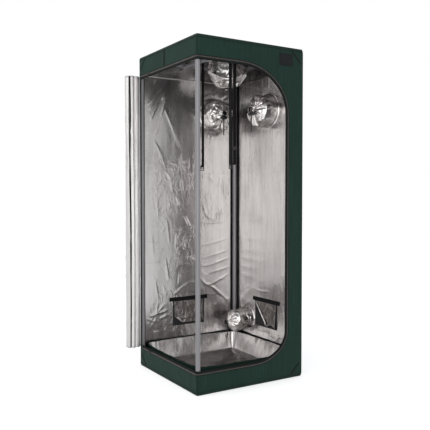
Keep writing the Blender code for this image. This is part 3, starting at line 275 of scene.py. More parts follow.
@dataclass(frozen=True)
class FineNet(Finish):
    """Fine knitted net: black threads, with painted shade between them for the dark seen through its holes.
    """

    name: str = "fine_net"
    cells: float = 560.0  # a thread every 1.8 mm, drawn coarser than the real 1 mm

    def sockets(self, n: Nodes) -> dict[str, object]:
        """A lattice of threads."""
        lattice = n.add("TexVoronoi", "Distance", {"feature": "DISTANCE_TO_EDGE"}, Scale=self.cells,
                        Vector=n.add("TexCoord", "Object"), Randomness=0.15)
        # Painted shade: near black in the holes, a little lighter on the threads.
        return {"Base Color": n.add("ValToRGB", stops=((0.05, "#2A2A2C"), (0.35, "#060607")), i0=lattice),
                "Normal": n.add("Bump", Height=lattice, Distance=0.0004, Strength=0.6), "Roughness": 0.85}


@dataclass(frozen=True)
class BraidedCord(Finish):
    """Braided polyester cord: black, with strands that wind round it, read from its own UV."""

    name: str = "braided_cord"
    strand: float = 0.0022  # real strands are 1 mm, drawn coarser so that they show

    def sockets(self, n: Nodes) -> dict[str, object]:
        """Two opposite slants crossed."""
        spot = n.add("TexCoord", "UV")
        waves = [n.add("TexWave", 1, {"bands_direction": "DIAGONAL"}, Scale=SLANTED_WAVE / self.strand,
                       Vector=n.add("Mapping", Vector=spot, Scale=(side, 1, 1)), Distortion=0.3)
                 for side in (1, -1)]
        both = n.add("Math", 0, {"operation": "MAXIMUM"}, i0=waves[0], i1=waves[1])
        return {"Base Color": n.add("ValToRGB", stops=((0.3, "#0D0D0F"), (0.95, "#2B2A2E")), i0=both),
                "Normal": n.add("Bump", Height=both, Distance=0.0004, Strength=0.8),
                "Roughness": 0.75, "Sheen Weight": 0.15}


class Finishes:
    """Every finish of the tent, built once."""

    def __init__(self) -> None:
        """Build them; a comment says what each gives the eye where its class doesn't."""
        self.oxford = CoatedOxford().build()
        self.dark_oxford = WovenTape("bound_edge", "#0E1412", "#1A2320", 0.0024).build()
        self.film = SilverFilm().build()
        # Painted light: the walls' film made brighter, for the light that the sleeves catch as they bunch up
        # towards the lamps; it is also more finely crumpled.
        self.lit_sleeve_film = SilverFilm("lit_sleeve_film", "#E9E6E4", "#CDC8C6", 0.2, 0.012, 0.0012).build()
        # Painted shade: the walls' film made darker, for the dark floor and shade that the leaning flaps
        # mirror.
        self.shaded_flap_film = SilverFilm("shaded_flap_film", "#8A8583", "#6B6765", 0.24, 0.014, 0.0012).build()
        # Half a mirror only, so that the open door stays pale where it faces a dark room.
        self.door_film = SilverFilm("door_film", "#E6E3E2", "#D3CFCE", 0.38, 0.05, 0.0006, 0.5).build()
        # Pale grey powder coat: smooth and low in gloss, with a faint orange peel.
        self.coat = Grained("powder_coated_steel", ((0.3, "#8C8A8D"), (0.7, "#989699")),
                            (14.0, 3.0, 0.5, 0.2), None, (650.0, 0.00006, 0.5),
                            (("Roughness", 0.36), ("IOR", 1.5), ("Metallic", 0.15))).build()
        # Injection-moulded nylon: near black and softly shiny, its highlights broken by spark erosion.
        self.nylon = Grained("moulded_nylon", ((0.2, "#101012"), (0.8, "#141416")), (1900.0, 2.0, 0.6, 1.0),
                             (0.34, 0.52), (1900.0, 0.00008, 0.4), (("IOR", 1.53),)).build()
        # Die-cast zinc, blackened and worn in clouds between black and grey.
        self.zinc = Grained("blackened_zinc", ((0.35, "#2A292B"), (0.75, "#5D5B5C")), (420.0, 3.0, 0.6, 1.0),
                            (0.3, 0.5), None, (("Metallic", 0.9),)).build()
        self.tape = WovenTape().build()
        # Nylon coil: brown grey and slightly glossy, its tone shifting along its length.
        self.coil = Grained("nylon_coil", ((0.3, "#574C49"), (0.7, "#6A5E5A")),
                            fixed=(("Roughness", 0.4), ("IOR", 1.53))).build()
        self.net = FineNet().build()
        self.cord = BraidedCord().build()
        self.zip_tape = WovenTape("zip_tape", "#16211D", "#22302B", 0.0024).build()
        self.hook = WovenTape("hook_tape", "#09090B", "#141317", 0.0020).build()
        self.patch = WovenTape("woven_patch", "#16181A", "#2A2D2F", 0.0018).build()
        self.thread = WovenTape("spun_thread", "#1B1D1E", "#3A3D3E", 0.0008).build()


# ---------------------------------------------------------------- points, paths and surfaces


def stacked(*parts: Array | float) -> Array:
    """Points from their coordinates, with single numbers repeated for every point."""
    return np.stack(np.broadcast_arrays(*parts), -1)


def unit(vectors: Array) -> Array:
    """Vectors of length one; a vector of no length stays."""
    size = np.linalg.norm(vectors, axis=-1, keepdims=True)
    return vectors / np.where(size < 1e-12, 1, size)


def run(path: Array) -> Array:
    """Distance of each point from the start of its path."""
    return np.concatenate([[0.0], np.cumsum(np.linalg.norm(np.diff(path, axis=0), axis=1))])


def bell(x: Array, middle: float, width: float) -> Array:
    """The bell curve exp(-((x - middle) / width)^2)."""
    return np.exp(-((x - middle) / width) ** 2)


def ease(x: Array) -> Array:
    """The smooth step 3 x^2 - 2 x^3, for x from zero to one."""
    return x * x * (3 - 2 * x)


def fair(path: Array, count: int, rounds: int = 3) -> Array:
    """Even points along a path, rounded by moving averages that leave its two ends.

    Args:
        path: Points.
        count: Number of points wanted.
        rounds: How often each point moves halfway to its neighbours' middle.

    Returns:
        The new points.
    """
    path = np.asarray(path, float)
    walk = run(path)
    at = np.linspace(0, walk[-1], count)
    out = stacked(*(np.interp(at, walk, column) for column in path.T))
    for _ in range(rounds):
        out[1:-1] = out[1:-1] / 2 + (out[:-2] + out[2:]) / 4
    return out


def spaced(stops: Sequence[float], step: float) -> Array:
    """Rising values that meet every stop and are about a step apart between them.

    Args:
        stops: Values that must be met.
        step: Wanted spacing.

    Returns:
        The values.
    """
    marks = sorted({round(s, 6) for s in stops})
    parts = [np.linspace(a, b, max(1, round((b - a) / step)), endpoint=False)
             for a, b in zip(marks, marks[1:])]
    return np.concatenate(parts + [np.array([marks[-1]])])


def grid_quads(rows: int, columns: int, closed: bool = False) -> Array:
    """Quads of a grid whose points are stored row by row.

    Args:
        rows: Number of rows.
        columns: Number of points in a row.
        closed: Whether the last column joins the first.

    Returns:
        Quads that turn anticlockwise when rows rise and columns run to the right.
    """
    i, j = np.meshgrid(np.arange(rows - 1), np.arange(columns if closed else columns - 1), indexing="ij")
    k = (j + 1) % columns
    corners = [i * columns + j, i * columns + k, (i + 1) * columns + k, (i + 1) * columns + j]
    return np.stack([c.ravel() for c in corners], 1)


@dataclass
class Surface:
    """A sheet without thickness: points, outward normals, cloth coordinates and quads."""

    points: Array
    normals: Array
    cloth: Array
    quads: Array

    def turn_over(self) -> None:
        """Let the other side be the outer one."""
        self.normals, self.quads = -self.normals, self.quads[:, ::-1]

    def upside_down(self) -> None:
        """Mirror it at z = 0."""
        self.points, self.normals = self.points * (1, 1, -1), self.normals * (1, 1, -1)
        self.quads = self.quads[:, ::-1]


@dataclass(frozen=True)
class RoundHole:
    """A round hole in a flat cloth, with half the side of the square patch of cells round it."""

    u: float
    v: float
    radius: float
    half: float


@dataclass(frozen=True)
class Window:
    """An oblong hole in a flat cloth."""

    u0: float
    u1: float
    v0: float
    v1: float


def pierced_grid(us: Array, vs: Array, rounds: Sequence[RoundHole] = (),
                 windows: Sequence[Window] = ()) -> tuple[Array, Array]:
    """A flat grid with holes, whose windows and squares have their sides on grid lines.

    Cells inside a window or a round hole's square are left out. Each square is then filled by
    rows of points that go straight from its edge to the circle at the same bearing.

    Args:
        us: Column places.
        vs: Row places.
        rounds: Round holes.
        windows: Oblong holes.

    Returns:
        Flat points and quads.
    """
    columns, rows = len(us), 7
    grid = np.stack(np.meshgrid(us, vs), -1).reshape(-1, 2)
    quads = grid_quads(len(vs), columns)
    centres = grid[quads].mean(1)
    keep = np.ones(len(quads), bool)
    for w in windows:
        keep &= ~((centres > (w.u0, w.v0)) & (centres < (w.u1, w.v1))).all(1)
    points, extra, total = [grid], [], len(grid)
    for hole in rounds:
        middle = np.array([hole.u, hole.v])
        keep &= ~(np.abs(centres - middle).max(1) < hole.half)
        (j0, j1), (i0, i1) = ([int(np.argmin(np.abs(places - (at + s * hole.half)))) for s in (-1, 1)]
                              for places, at in ((us, hole.u), (vs, hole.v)))
        loop = ([i0 * columns + j for j in range(j0, j1)] + [i * columns + j1 for i in range(i0, i1)]
                + [i1 * columns + j for j in range(j1, j0, -1)]
                + [i * columns + j0 for i in range(i1, i0, -1)])
        edge = grid[loop]
        circle = middle + unit(edge - middle) * hole.radius
        shares = np.arange(1, rows)[:, None, None] / (rows - 1)
        points.append((edge + (circle - edge) * shares).reshape(-1, 2))
        index = np.vstack([loop, total + np.arange((rows - 1) * len(loop)).reshape(rows - 1, -1)])
        extra.append(index.ravel()[grid_quads(rows, len(loop), closed=True)])
        total += (rows - 1) * len(loop)
    quads = np.vstack([quads[keep]] + extra)
    used, inverse = np.unique(quads, return_inverse=True)
    return np.vstack(points)[used], inverse.reshape(quads.shape)


@dataclass
class PlanLine:
    """A line in plan made of straights and arcs, walked anticlockwise round the tent.

    Attributes:
        parts: ("line", x0, y0, x1, y1) or ("arc", centre x, centre y, radius, start, end) in degrees.
    """

    parts: list[tuple]

    def stops(self) -> list[float]:
        """Distances at which parts begin and end."""
        lengths = [math.hypot(p[3] - p[1], p[4] - p[2]) if p[0] == "line"
                   else abs(math.radians(p[5] - p[4])) * p[3] for p in self.parts]
        return [0.0] + list(np.cumsum(lengths))

    def at(self, s: Array) -> tuple[Array, Array]:
        """Points and outward normals at distances along the line.

        Args:
            s: Distances.

        Returns:
            Arrays of x and y, and of the normal's x and y.
        """
        place, out = np.zeros((len(s), 2)), np.zeros((len(s), 2))
        ends = self.stops()
        which = np.clip(np.searchsorted(ends, s, side="right") - 1, 0, len(self.parts) - 1)
        for k, part in enumerate(self.parts):
            chosen = which == k
            t = (s[chosen] - ends[k])[:, None]
            if part[0] == "line":
                way = unit(np.array([part[3] - part[1], part[4] - part[2]]))
                place[chosen] = np.array(part[1:3]) + way * t
                out[chosen] = (way[1], -way[0])
            else:
                turn = math.radians(part[4]) + t * np.sign(part[5] - part[4]) / part[3]
                ray = np.hstack([np.cos(turn), np.sin(turn)])
                place[chosen] = np.array(part[1:3]) + ray * part[3]
                out[chosen] = ray
        return place, out

    def upright(self, flat: Array, quads: Array) -> Surface:
        """Stand a flat cloth up along the line: its first coordinate follows it, its second is z."""
        place, out = self.at(flat[:, 0])
        return Surface(np.column_stack([place, flat[:, 1]]), np.column_stack([out, np.zeros(len(flat))]),
                       flat, quads)


# ---------------------------------------------------------------- pieces


def new_mesh(name: str, points: Array, faces: Array | Sequence, materials: Sequence[Material],
             slots: Array | None = None, cloth: Array | None = None) -> Piece:
    """Make a smoothly shaded object from arrays.

    Args:
        name: Object name.
        points: Vertices.
        faces: Quads or lists of vertex numbers.
        materials: Materials in slot order.
        slots: Slot of each face.
        cloth: Two cloth coordinates of each vertex, stored as the UV map.

    Returns:
        The object, at the origin.
    """
    mesh = bpy.data.meshes.new(name)
    faces = faces.tolist() if isinstance(faces, np.ndarray) else faces
    faces = [f if len(set(f)) == len(f) else list(dict.fromkeys(f)) for f in faces]
    mesh.from_pydata(np.asarray(points, float).tolist(), [], faces)
    for material in materials:
        mesh.materials.append(material)
    if slots is not None:
        mesh.polygons.foreach_set("material_index", np.asarray(slots, np.int32))
    mesh.polygons.foreach_set("use_smooth", np.ones(len(mesh.polygons), bool))
    if cloth is not None:
        layer = mesh.uv_layers.new(name="cloth")
        corners = np.zeros(len(mesh.loops), np.int32)
        mesh.loops.foreach_get("vertex_index", corners)
        layer.data.foreach_set("uv", np.asarray(cloth, np.float32)[corners].ravel())
    mesh.validate()
    obj = bpy.data.objects.new(name, mesh)
    bpy.context.scene.collection.objects.link(obj)
    return obj


def settle(obj: Piece, body: str = "tent", node: str | None = None, **sheet: object) -> Piece:
    """Let a piece ride on its body and stand for its CAD node.

    Args:
        obj: The piece.
        body: The body that carries it.
        node: The CAD node that it replaces, if any.

    Returns:
        The piece.
    """
    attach(obj, body)
    if node:
        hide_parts(node)
    LOG.info("%s rides on %s", obj.name, body)
    return obj


def none(cloth: Array) -> Array:
    """A relief of nothing."""
    return np.zeros(len(cloth))


def cloth_sheet(name: str, surface: Surface, thickness: float, materials: Sequence[Material],
                face: Relief = none, lining: Relief = none) -> Piece:
    """A closed sheet: the face stands out by its relief, the lining stands in by its own.

    An edge that one quad only uses is open, and a quad there joins the face to the lining.

    Args:
        name: Object name.
        surface: The face without relief.
        thickness: Distance from the face to the lining.
        materials: Materials of the face and the lining.
        face: Relief of the face, outwards.
        lining: Relief of the lining, inwards.

    Returns:
        The object.
    """
    count, quads = len(surface.points), surface.quads
    outer = surface.points + surface.normals * face(surface.cloth)[:, None]
    inner = surface.points - surface.normals * (thickness + lining(surface.cloth))[:, None]
    edges = np.vstack([quads[:, [k, (k + 1) % 4]] for k in range(4)])
    edges = edges[edges[:, 0] != edges[:, 1]]
    _, first, uses = np.unique(np.sort(edges, 1), axis=0, return_index=True, return_counts=True)
    loose = edges[first[uses == 1]]
    rim = np.column_stack([loose[:, 1], loose[:, 0], loose[:, 0] + count, loose[:, 1] + count])
    slots = np.repeat([0, 1, 0], [len(quads), len(quads), len(rim)])
    return new_mesh(name, np.vstack([outer, inner]), np.vstack([quads, quads[:, ::-1] + count, rim]),
                    materials, slots, np.vstack([surface.cloth, surface.cloth]))


def loft(name: str, path: Array, offsets: Array, around: Array, material: Material,
         closed: bool = False) -> Piece:
    """A closed section carried along a path.

    Args:
        name: Object name.
        path: Centre line.
        offsets: The section's points off each point of the path.
        around: The section's cloth coordinates; the other coordinate is the length.
        material: Its material.
        closed: Whether the path returns to its start.

    Returns:
        The object.
    """
    rows, sides = offsets.shape[:2]
    last = (rows - 1) * sides
    faces = grid_quads(rows, sides, closed=True).tolist()
    if closed:
        faces += [[last + j, last + (j + 1) % sides, (j + 1) % sides, j] for j in range(sides)]
    else:
        faces += [list(range(sides))[::-1], list(range(last, last + sides))]
    return new_mesh(name, (path[:, None] + offsets).reshape(-1, 3), faces, [material],
                    cloth=stacked(around, run(path)[:, None]).reshape(-1, 2))


def tube(name: str, path: Array, radius: float, material: Material, sides: int = 8,
         closed: bool = False) -> Piece:
    """A round cord or piping, whose first crossways direction is carried on with the least turn.

    Args:
        name: Object name.
        path: Centre line.
        radius: Its radius.
        material: Its material.
        sides: Points round it.
        closed: Whether the path returns to its start.

    Returns:
        The object.
    """
    path = np.asarray(path, float)
    tangent = unit(np.roll(path, -1, 0) - np.roll(path, 1, 0) if closed else np.gradient(path, axis=0))
    first = np.cross(tangent[0], UP)
    if np.linalg.norm(first) < 0.2:
        first = np.cross(tangent[0], AXIS_Y)
    side = np.zeros_like(path)
    side[0] = unit(first)
    for i in range(1, len(path)):
        side[i] = unit(side[i - 1] - tangent[i] * (side[i - 1] @ tangent[i]))
    turn = np.arange(sides) * math.tau / sides
    ring = (side[:, None] * np.cos(turn)[:, None] + np.cross(tangent, side)[:, None] * np.sin(turn)[:, None])
    return loft(name, path, ring * radius, turn * radius, material, closed)


def band(name: str, path: Array, across: Array, thickness: float, material: Material, width: float,
         columns: int = 7) -> Piece:
    """A flat tape carried along a path, closed and with rounded edges.

    Its section is a flattened oval: half the thickness times the square root of one minus the
    eighth power of the place across it.

    Args:
        name: Object name.
        path: Centre line.
        across: Unit direction of the width, one or one for each point.
        thickness: Thickness.
        material: Its material.
        width: Width.
        columns: Points on each face of the tape.

    Returns:
        The object.
    """
    path = np.asarray(path, float)
    across = np.broadcast_to(np.asarray(across, float), path.shape)
    out = unit(np.cross(unit(np.gradient(path, axis=0)), across))
    t = np.sin(np.linspace(-math.pi / 2, math.pi / 2, columns))
    lift = thickness / 2 * np.sqrt(np.clip(1 - t ** 8, 0, 1))
    u = (np.concatenate([t, t[-2:0:-1]]) * width / 2)[::-1]
    h = np.concatenate([lift, -lift[-2:0:-1]])[::-1]
    return loft(name, path, across[:, None] * u[:, None] + out[:, None] * h[:, None], u, material)


def bead_shape(half: tuple[float, float, float], rings: int = 5, sides: int = 6) -> tuple[Array, list]:
    """A small closed bead, long across: x and z shrink by the square root of one minus t^4.

    Args:
        half: Half sizes along, across and out.
        rings: Rings across it.
        sides: Points on each ring.

    Returns:
        Vertices and faces.
    """
    t = np.linspace(-0.96, 0.96, rings)[:, None]
    turn = np.arange(sides) * math.tau / sides
    wide = np.sqrt(1 - t ** 4)
    ring = stacked(half[0] * wide * np.cos(turn), half[1] * t, half[2] * (1 + wide * np.sin(turn)))
    faces = grid_quads(rings, sides, True)[:, ::-1].tolist()
    faces += [list(range(sides)), list(range((rings - 1) * sides, rings * sides))[::-1]]
    return ring.reshape(-1, 3), faces


def repeated(name: str, points: Array, along: Array, across: Array, shape: tuple[Array, list],
             material: Material) -> Piece:
    """One small shape set again and again along a line, such as teeth or stitches.

    Args:
        name: Object name.
        points: Where each one stands.
        along: Unit direction of the line at each.
        across: Unit crossways direction at each.
        shape: The small shape's vertices (along, across, out) and its faces.
        material: Its material.

    Returns:
        The object.
    """
    local, faces = shape
    out = np.cross(along, across)
    places = (points[:, None] + along[:, None] * local[:, :1] + across[:, None] * local[:, 1:2]
              + out[:, None] * local[:, 2:])
    many = [[v + k * len(local) for v in face] for k in range(len(points)) for face in faces]
    return new_mesh(name, places.reshape(-1, 3), many, [material])


def stitches(name: str, path: Array, normal: Array, material: Material, pitch: float = 0.0042,
             thread: float = 0.00035) -> Piece:
    """A row of stitches along a path, each a bead 70% of the pitch long.

    Args:
        name: Object name.
        path: Points of the row, on the cloth.
        normal: Outward direction, one or one for each point.
        material: The thread's material.
        pitch: Distance from stitch to stitch.
        thread: Half the thread's thickness.

    Returns:
        The object.
    """
    spots = fair(path, max(3, int(run(path)[-1] / pitch)), 0)
    normal = np.broadcast_to(np.asarray(normal, float), path.shape)
    shares = np.linspace(0, 1, len(spots)), np.linspace(0, 1, len(path))
    out = stacked(*(np.interp(*shares, column) for column in normal.T))
    along = unit(np.gradient(spots, axis=0))
    shape = bead_shape((thread, pitch * 0.35, thread), 4, 5)
    return repeated(name, spots, -unit(np.cross(out, along)), along, shape, material)


@dataclass(frozen=True)
class Creases:
    """Creases pressed into cloth: straight ridges of random place, bearing, length and height.

    Each ridge is height * exp(-(d / width)^2) * exp(-(s / length)^4), with d across it and s along it.
    """

    count: int
    height: float
    width: float
    length: float
    area: tuple[float, float, float, float]
    seed: int
    bearing: float = 0.0
    spread: float = 3.14

    def __call__(self, cloth: Array) -> Array:
        """Height of all the ridges, never below zero.

        Args:
            cloth: Cloth coordinates.

        Returns:
            The relief.
        """
        rng = np.random.default_rng(self.seed)
        u0, u1, v0, v1 = self.area
        total = np.zeros(len(cloth))
        for _ in range(self.count):
            at = np.array([rng.uniform(u0, u1), rng.uniform(v0, v1)])
            a = self.bearing + rng.uniform(-0.5, 0.5) * self.spread
            size = rng.uniform(0.4, 1.0)
            long = self.length * rng.uniform(0.4, 1.0)
            wide = self.width * rng.uniform(0.6, 1.4)
            way = cloth - at
            s = way[:, 0] * math.cos(a) + way[:, 1] * math.sin(a)
            d = -way[:, 0] * math.sin(a) + way[:, 1] * math.cos(a)
            d = d + 0.12 * long * np.sin(s / long * 2.2 + at[0] * 40)
            total += self.height * size * np.exp(-(d / wide) ** 2) * np.exp(-(s / long) ** 4)
        return np.clip(total, 0, self.height * 2.2)


def grid_surface(points: Array, cloth: Array, closed: bool = False) -> Surface:
    """A surface from a grid of points, with normals worked out from its neighbours' differences.

    Args:
        points: Rows of points.
        cloth: Rows of cloth coordinates.
        closed: Whether the last column joins the first.

    Returns:
        The surface; its normals turn anticlockwise from columns to rows.
    """
    across = np.roll(points, -1, 1) - np.roll(points, 1, 1) if closed else np.gradient(points, axis=1)
    normal = unit(np.cross(across, np.gradient(points, axis=0)))
    return Surface(points.reshape(-1, 3), normal.reshape(-1, 3), cloth.reshape(-1, 2),
                   grid_quads(*points.shape[:2], closed))


def dish(flat: Array, quads: Array, places: Array, foot: float, radius: float, walls: Array) -> Surface:
    """A flat square at z = 0 whose edge turns down through a quarter circle into upright walls.

    The rim's rows stand at radius * sin(tilt) outside the square and radius * (1 - cos(tilt))
    below it, and the same radius rounds the square's corners in plan. Points that fall on each
    other are merged, and the first one's normal and cloth place are kept.

    Args:
        flat: Points of the flat square.
        quads: Its quads.
        places: Places of its edge points.
        foot: Half of its side.
        radius: Radius of the edge.
        walls: Distances below the rounded edge.

    Returns:
        The surface, facing out.
    """
    edge, steps = places[1:-1], 9
    corner = np.radians(np.linspace(0, 90, steps))
    lines = (stacked(foot, edge), stacked(edge[::-1], foot), stacked(-foot, edge[::-1]), stacked(edge, -foot))
    feet, rays = [], []
    for k, (sx, sy) in enumerate(CORNERS):
        turn = math.radians(90 * k - 90) + corner
        ray = stacked(np.cos(turn), np.sin(turn))
        feet += [np.tile((sx * foot, sy * foot), (steps, 1)), lines[k]]
        rays += [ray, np.tile(ray[-1], (len(edge), 1))]
    base, ray = np.vstack(feet), np.vstack(rays)
    bend = np.linspace(0, math.pi / 2, steps)
    tilt, down, reach = (np.concatenate(parts)[:, None, None] for parts in (
        (bend, np.full(len(walls), math.pi / 2)), (radius * (1 - np.cos(bend)), radius + walls),
        (radius * bend, radius * math.pi / 2 + walls)))
    shape = (len(tilt), len(base), 1)
    rim = np.concatenate([base + ray * (radius * np.sin(tilt)), np.broadcast_to(-down, shape)], 2)
    normal = np.concatenate([ray * np.sin(tilt), np.broadcast_to(np.cos(tilt), shape)], 2)
    around = grid_quads(len(tilt), len(base), closed=True)[:, ::-1] + len(flat)
    points = np.vstack([np.column_stack([flat, np.zeros(len(flat))]), rim.reshape(-1, 3)])
    normals = np.vstack([np.tile(UP, (len(flat), 1)), normal.reshape(-1, 3)])
    cloth = np.vstack([flat, (base + ray * reach).reshape(-1, 2)])
    _, first, inverse = np.unique(np.round(points, 6), axis=0, return_index=True, return_inverse=True)
    return Surface(points[first], normals[first], cloth[first], inverse.ravel()[np.vstack([quads, around])])


# ---------------------------------------------------------------- reliefs of the walls


@dataclass(frozen=True)
class FreeArea:
    """Where a cloth is free to stand off: away from its edges, ports and windows.

    It is fully free a reach away from them. Ports and windows' lower edges keep a near margin, and
    windows' other edges a wide one.
    """

    u0: float
    u1: float
    v0: float
    v1: float
    rounds: Sequence[RoundHole] = ()
    windows: Sequence[Window] = ()
    reach: float = 0.025
    near: float = 0.012
    wide: float = 0.030

    def share(self, cloth: Array) -> Array:
        """Freedom of each point, from zero at an edge to one."""
        u, v = cloth.T
        near, wide = self.near, self.wide
        gaps = [u - self.u0, self.u1 - u, v - self.v0, self.v1 - v]
        gaps += [np.hypot(u - h.u, v - h.v) - h.radius - near for h in self.rounds]
        gaps += [np.maximum.reduce([w.u0 - wide - u, u - w.u1 - wide, w.v0 - near - v, v - w.v1 - wide])
                 for w in self.windows]
        return ease(np.clip(np.minimum.reduce(gaps) / self.reach, 0, 1))


@dataclass(frozen=True)
class FaceWaves:
    """Slack of the outer face: long upright swells, a sum of three sines of unlike length."""

    free: FreeArea
    seed: int
    height: float = 0.0007

    def __call__(self, cloth: Array) -> Array:
        """Height of the swells at each point of the cloth."""
        (u, v), k = cloth.T, self.seed
        wave = (np.sin(u * 38 + 3 * np.sin(v * 2.1 + k)) + np.sin(u * 17 + v * 3 + k * 2)
                + np.sin(v * 9 + u * 6 + k * 3)) / 3
        return self.height * (wave + 1) / 2 * self.free.share(cloth)


# Folds that packing pressed into the film, with their places read from the photograph: height in
# units of 0.16 mm, then x (back wall) or y (right wall) and z of each bend in millimetres.
BACK_FOLDS = (
    (16, -253, 1359, -161, 1458), (14, -248, 1335, -172, 1432), (13, -234, 1290, -205, 1349, -180, 1400),
    (9, -224, 1470, -193, 1495), (14, -173, 1307, -151, 1384, -136, 1450), (16, -166, 1396, -141, 1447),
    (15, -151, 1353, -111, 1267, -81, 1192, -55, 1135),
    (13, -219, 1186, -195, 1148, -176, 1113, -146, 1043), (13, -151, 1021, -126, 999, -101, 932),
    (12, -136, 1072, -76, 1058, -55, 1031), (12, -116, 855, -130, 818), (12, -88, 888, -65, 854, -74, 829),
    (15, -34, 783, 1, 720), (14, -79, 704, -3, 707, 21, 723), (12, -88, 590, -70, 606, -22, 616),
    (12, -51, 651, -22, 664, 26, 665), (15, -22, 558, 35, 532), (10, -84, 514, 21, 513),
    (12, -79, 693, -86, 602), (8, -262, 527, -180, 538), (18, -102, 352, -42, 396, 21, 423),
    (13, 69, 507, 94, 492, 261, 538), (11, 113, 453, 263, 486), (15, 69, 435, 109, 381, 261, 447),
    (18, 109, 388, 143, 380, 230, 310, 261, 268), (7, 74, 735, 235, 744), (7, 73, 611, 251, 648),
    (9, 73, 539, 251, 580), (14, -244, 250, -116, 277), (13, -185, 231, -116, 255),
    (14, -161, 157, -126, 193, -116, 240), (10, -229, 165, -176, 159), (14, 157, 1432, 177, 1475),
    (14, 189, 1428, 242, 1459), (8, -200, 900, -190, 760), (7, -230, 700, -222, 560),
    (7, 60, 1000, 250, 1010), (8, 80, 860, 100, 780, 180, 730), (10, -120, 980, -100, 905),
    (9, -60, 1000, -40, 900), (9, -140, 760, -125, 640), (9, -150, 560, -130, 430),
    (8, -210, 430, -190, 330), (9, -60, 480, -70, 400))
RIGHT_FOLDS = (
    (11, 196, 1470, 190, 1570), (12, 150, 1460, 146, 1572), (11, 96, 1450, 100, 1570),
    (12, 40, 1455, 44, 1560), (10, -20, 1450, -14, 1550), (9, -80, 1440, -70, 1540),
    (8, 235, 1300, 228, 1130), (6, 150, 1120, 140, 900), (6, 60, 1060, 64, 820), (6, -60, 1100, -66, 860),
    (6, -140, 1150, -150, 760, -160, 560), (7, 120, 800, 100, 560), (6, 10, 760, 0, 520),
    (7, -80, 700, -96, 480, -130, 430), (9, 130, 390, 60, 372, -40, 380), (9, -100, 470, -150, 380),
    (9, -140, 350, -150, 240), (8, 90, 150, -20, 158, -120, 140), (8, 200, 330, 226, 420),
    (8, 235, 700, 226, 520))
FOLD_UNIT = 1.6e-4


@dataclass(frozen=True)
class WallLining:
    """Relief of a wall's film: pressed folds, a sewn welt, puckers round its ports and fine creases."""

    free: FreeArea
    area: tuple[float, float, float, float]
    folds: Sequence[tuple]
    middle: float
    way: int
    seam: float

    def __call__(self, cloth: Array) -> Array:
        """Height of the lining's relief, inwards.

        A pucker is 0.9 mm times a sine of the bearing from its port, and dies out over 45 mm.

        Args:
            cloth: Cloth coordinates.

        Returns:
            The relief.
        """
        u, v = cloth.T
        relief = np.zeros(len(cloth))
        for height, *places in self.folds:
            spots = np.array(places, float).reshape(-1, 2) / 1000
            spots[:, 0] = self.middle + self.way * spots[:, 0]
            relief = np.maximum(relief, height * FOLD_UNIT * self.fold(cloth, fair(spots, 3 * len(spots), 1)))
        for hole in self.free.rounds:
            away = np.hypot(u - hole.u, v - hole.v) - hole.radius
            bearing = np.arctan2(v - hole.v, u - hole.u)
            wave = np.sin(bearing * 23 + 2 * np.sin(bearing * 5)) * np.sin(bearing * 3 + hole.u)
            relief += 0.0009 * (1 + wave) * bell(away, 0, 0.045)
        u0, u1, low, _ = self.area
        fine = Creases(120, 0.0007, 0.0045, 0.035, self.area, len(self.folds))
        lower = Creases(40, 0.0013, 0.0050, 0.05, (u0, u1, low, low + 0.33), 7)
        swell = 0.0005 * (1 + np.sin(u * 47 + 2.5 * np.sin(v * 3.1)) * np.sin(v * 4 + len(self.folds)))
        welt = 0.0007 * bell(v, self.seam, 0.0024)
        return (relief + fine(cloth) + lower(cloth) + swell) * self.free.share(cloth) + welt

    @staticmethod
    def fold(cloth: Array, spots: Array) -> Array:
        """One fold's share of its height: exp(-(distance / 4 mm)^1.3), fading over its end thirds.

        Args:
            cloth: Cloth coordinates.
            spots: Bends of its line.

        Returns:
            Shares from zero to one.
        """
        near, along = np.full(len(cloth), 9.0), np.zeros(len(cloth))
        for k, (a, b) in enumerate(zip(spots, spots[1:])):
            way = b - a
            share = np.clip((cloth - a) @ way / (way @ way), 0, 1)
            gap = np.linalg.norm(cloth - a - share[:, None] * way, axis=1)
            along = np.where(gap < near, (k + share) / (len(spots) - 1), along)
            near = np.minimum(near, gap)
        return np.exp(-(near / 0.0040) ** 1.3) * np.clip(np.minimum(along, 1 - along) * 3, 0, 1) ** 0.7


# ---------------------------------------------------------------- cover


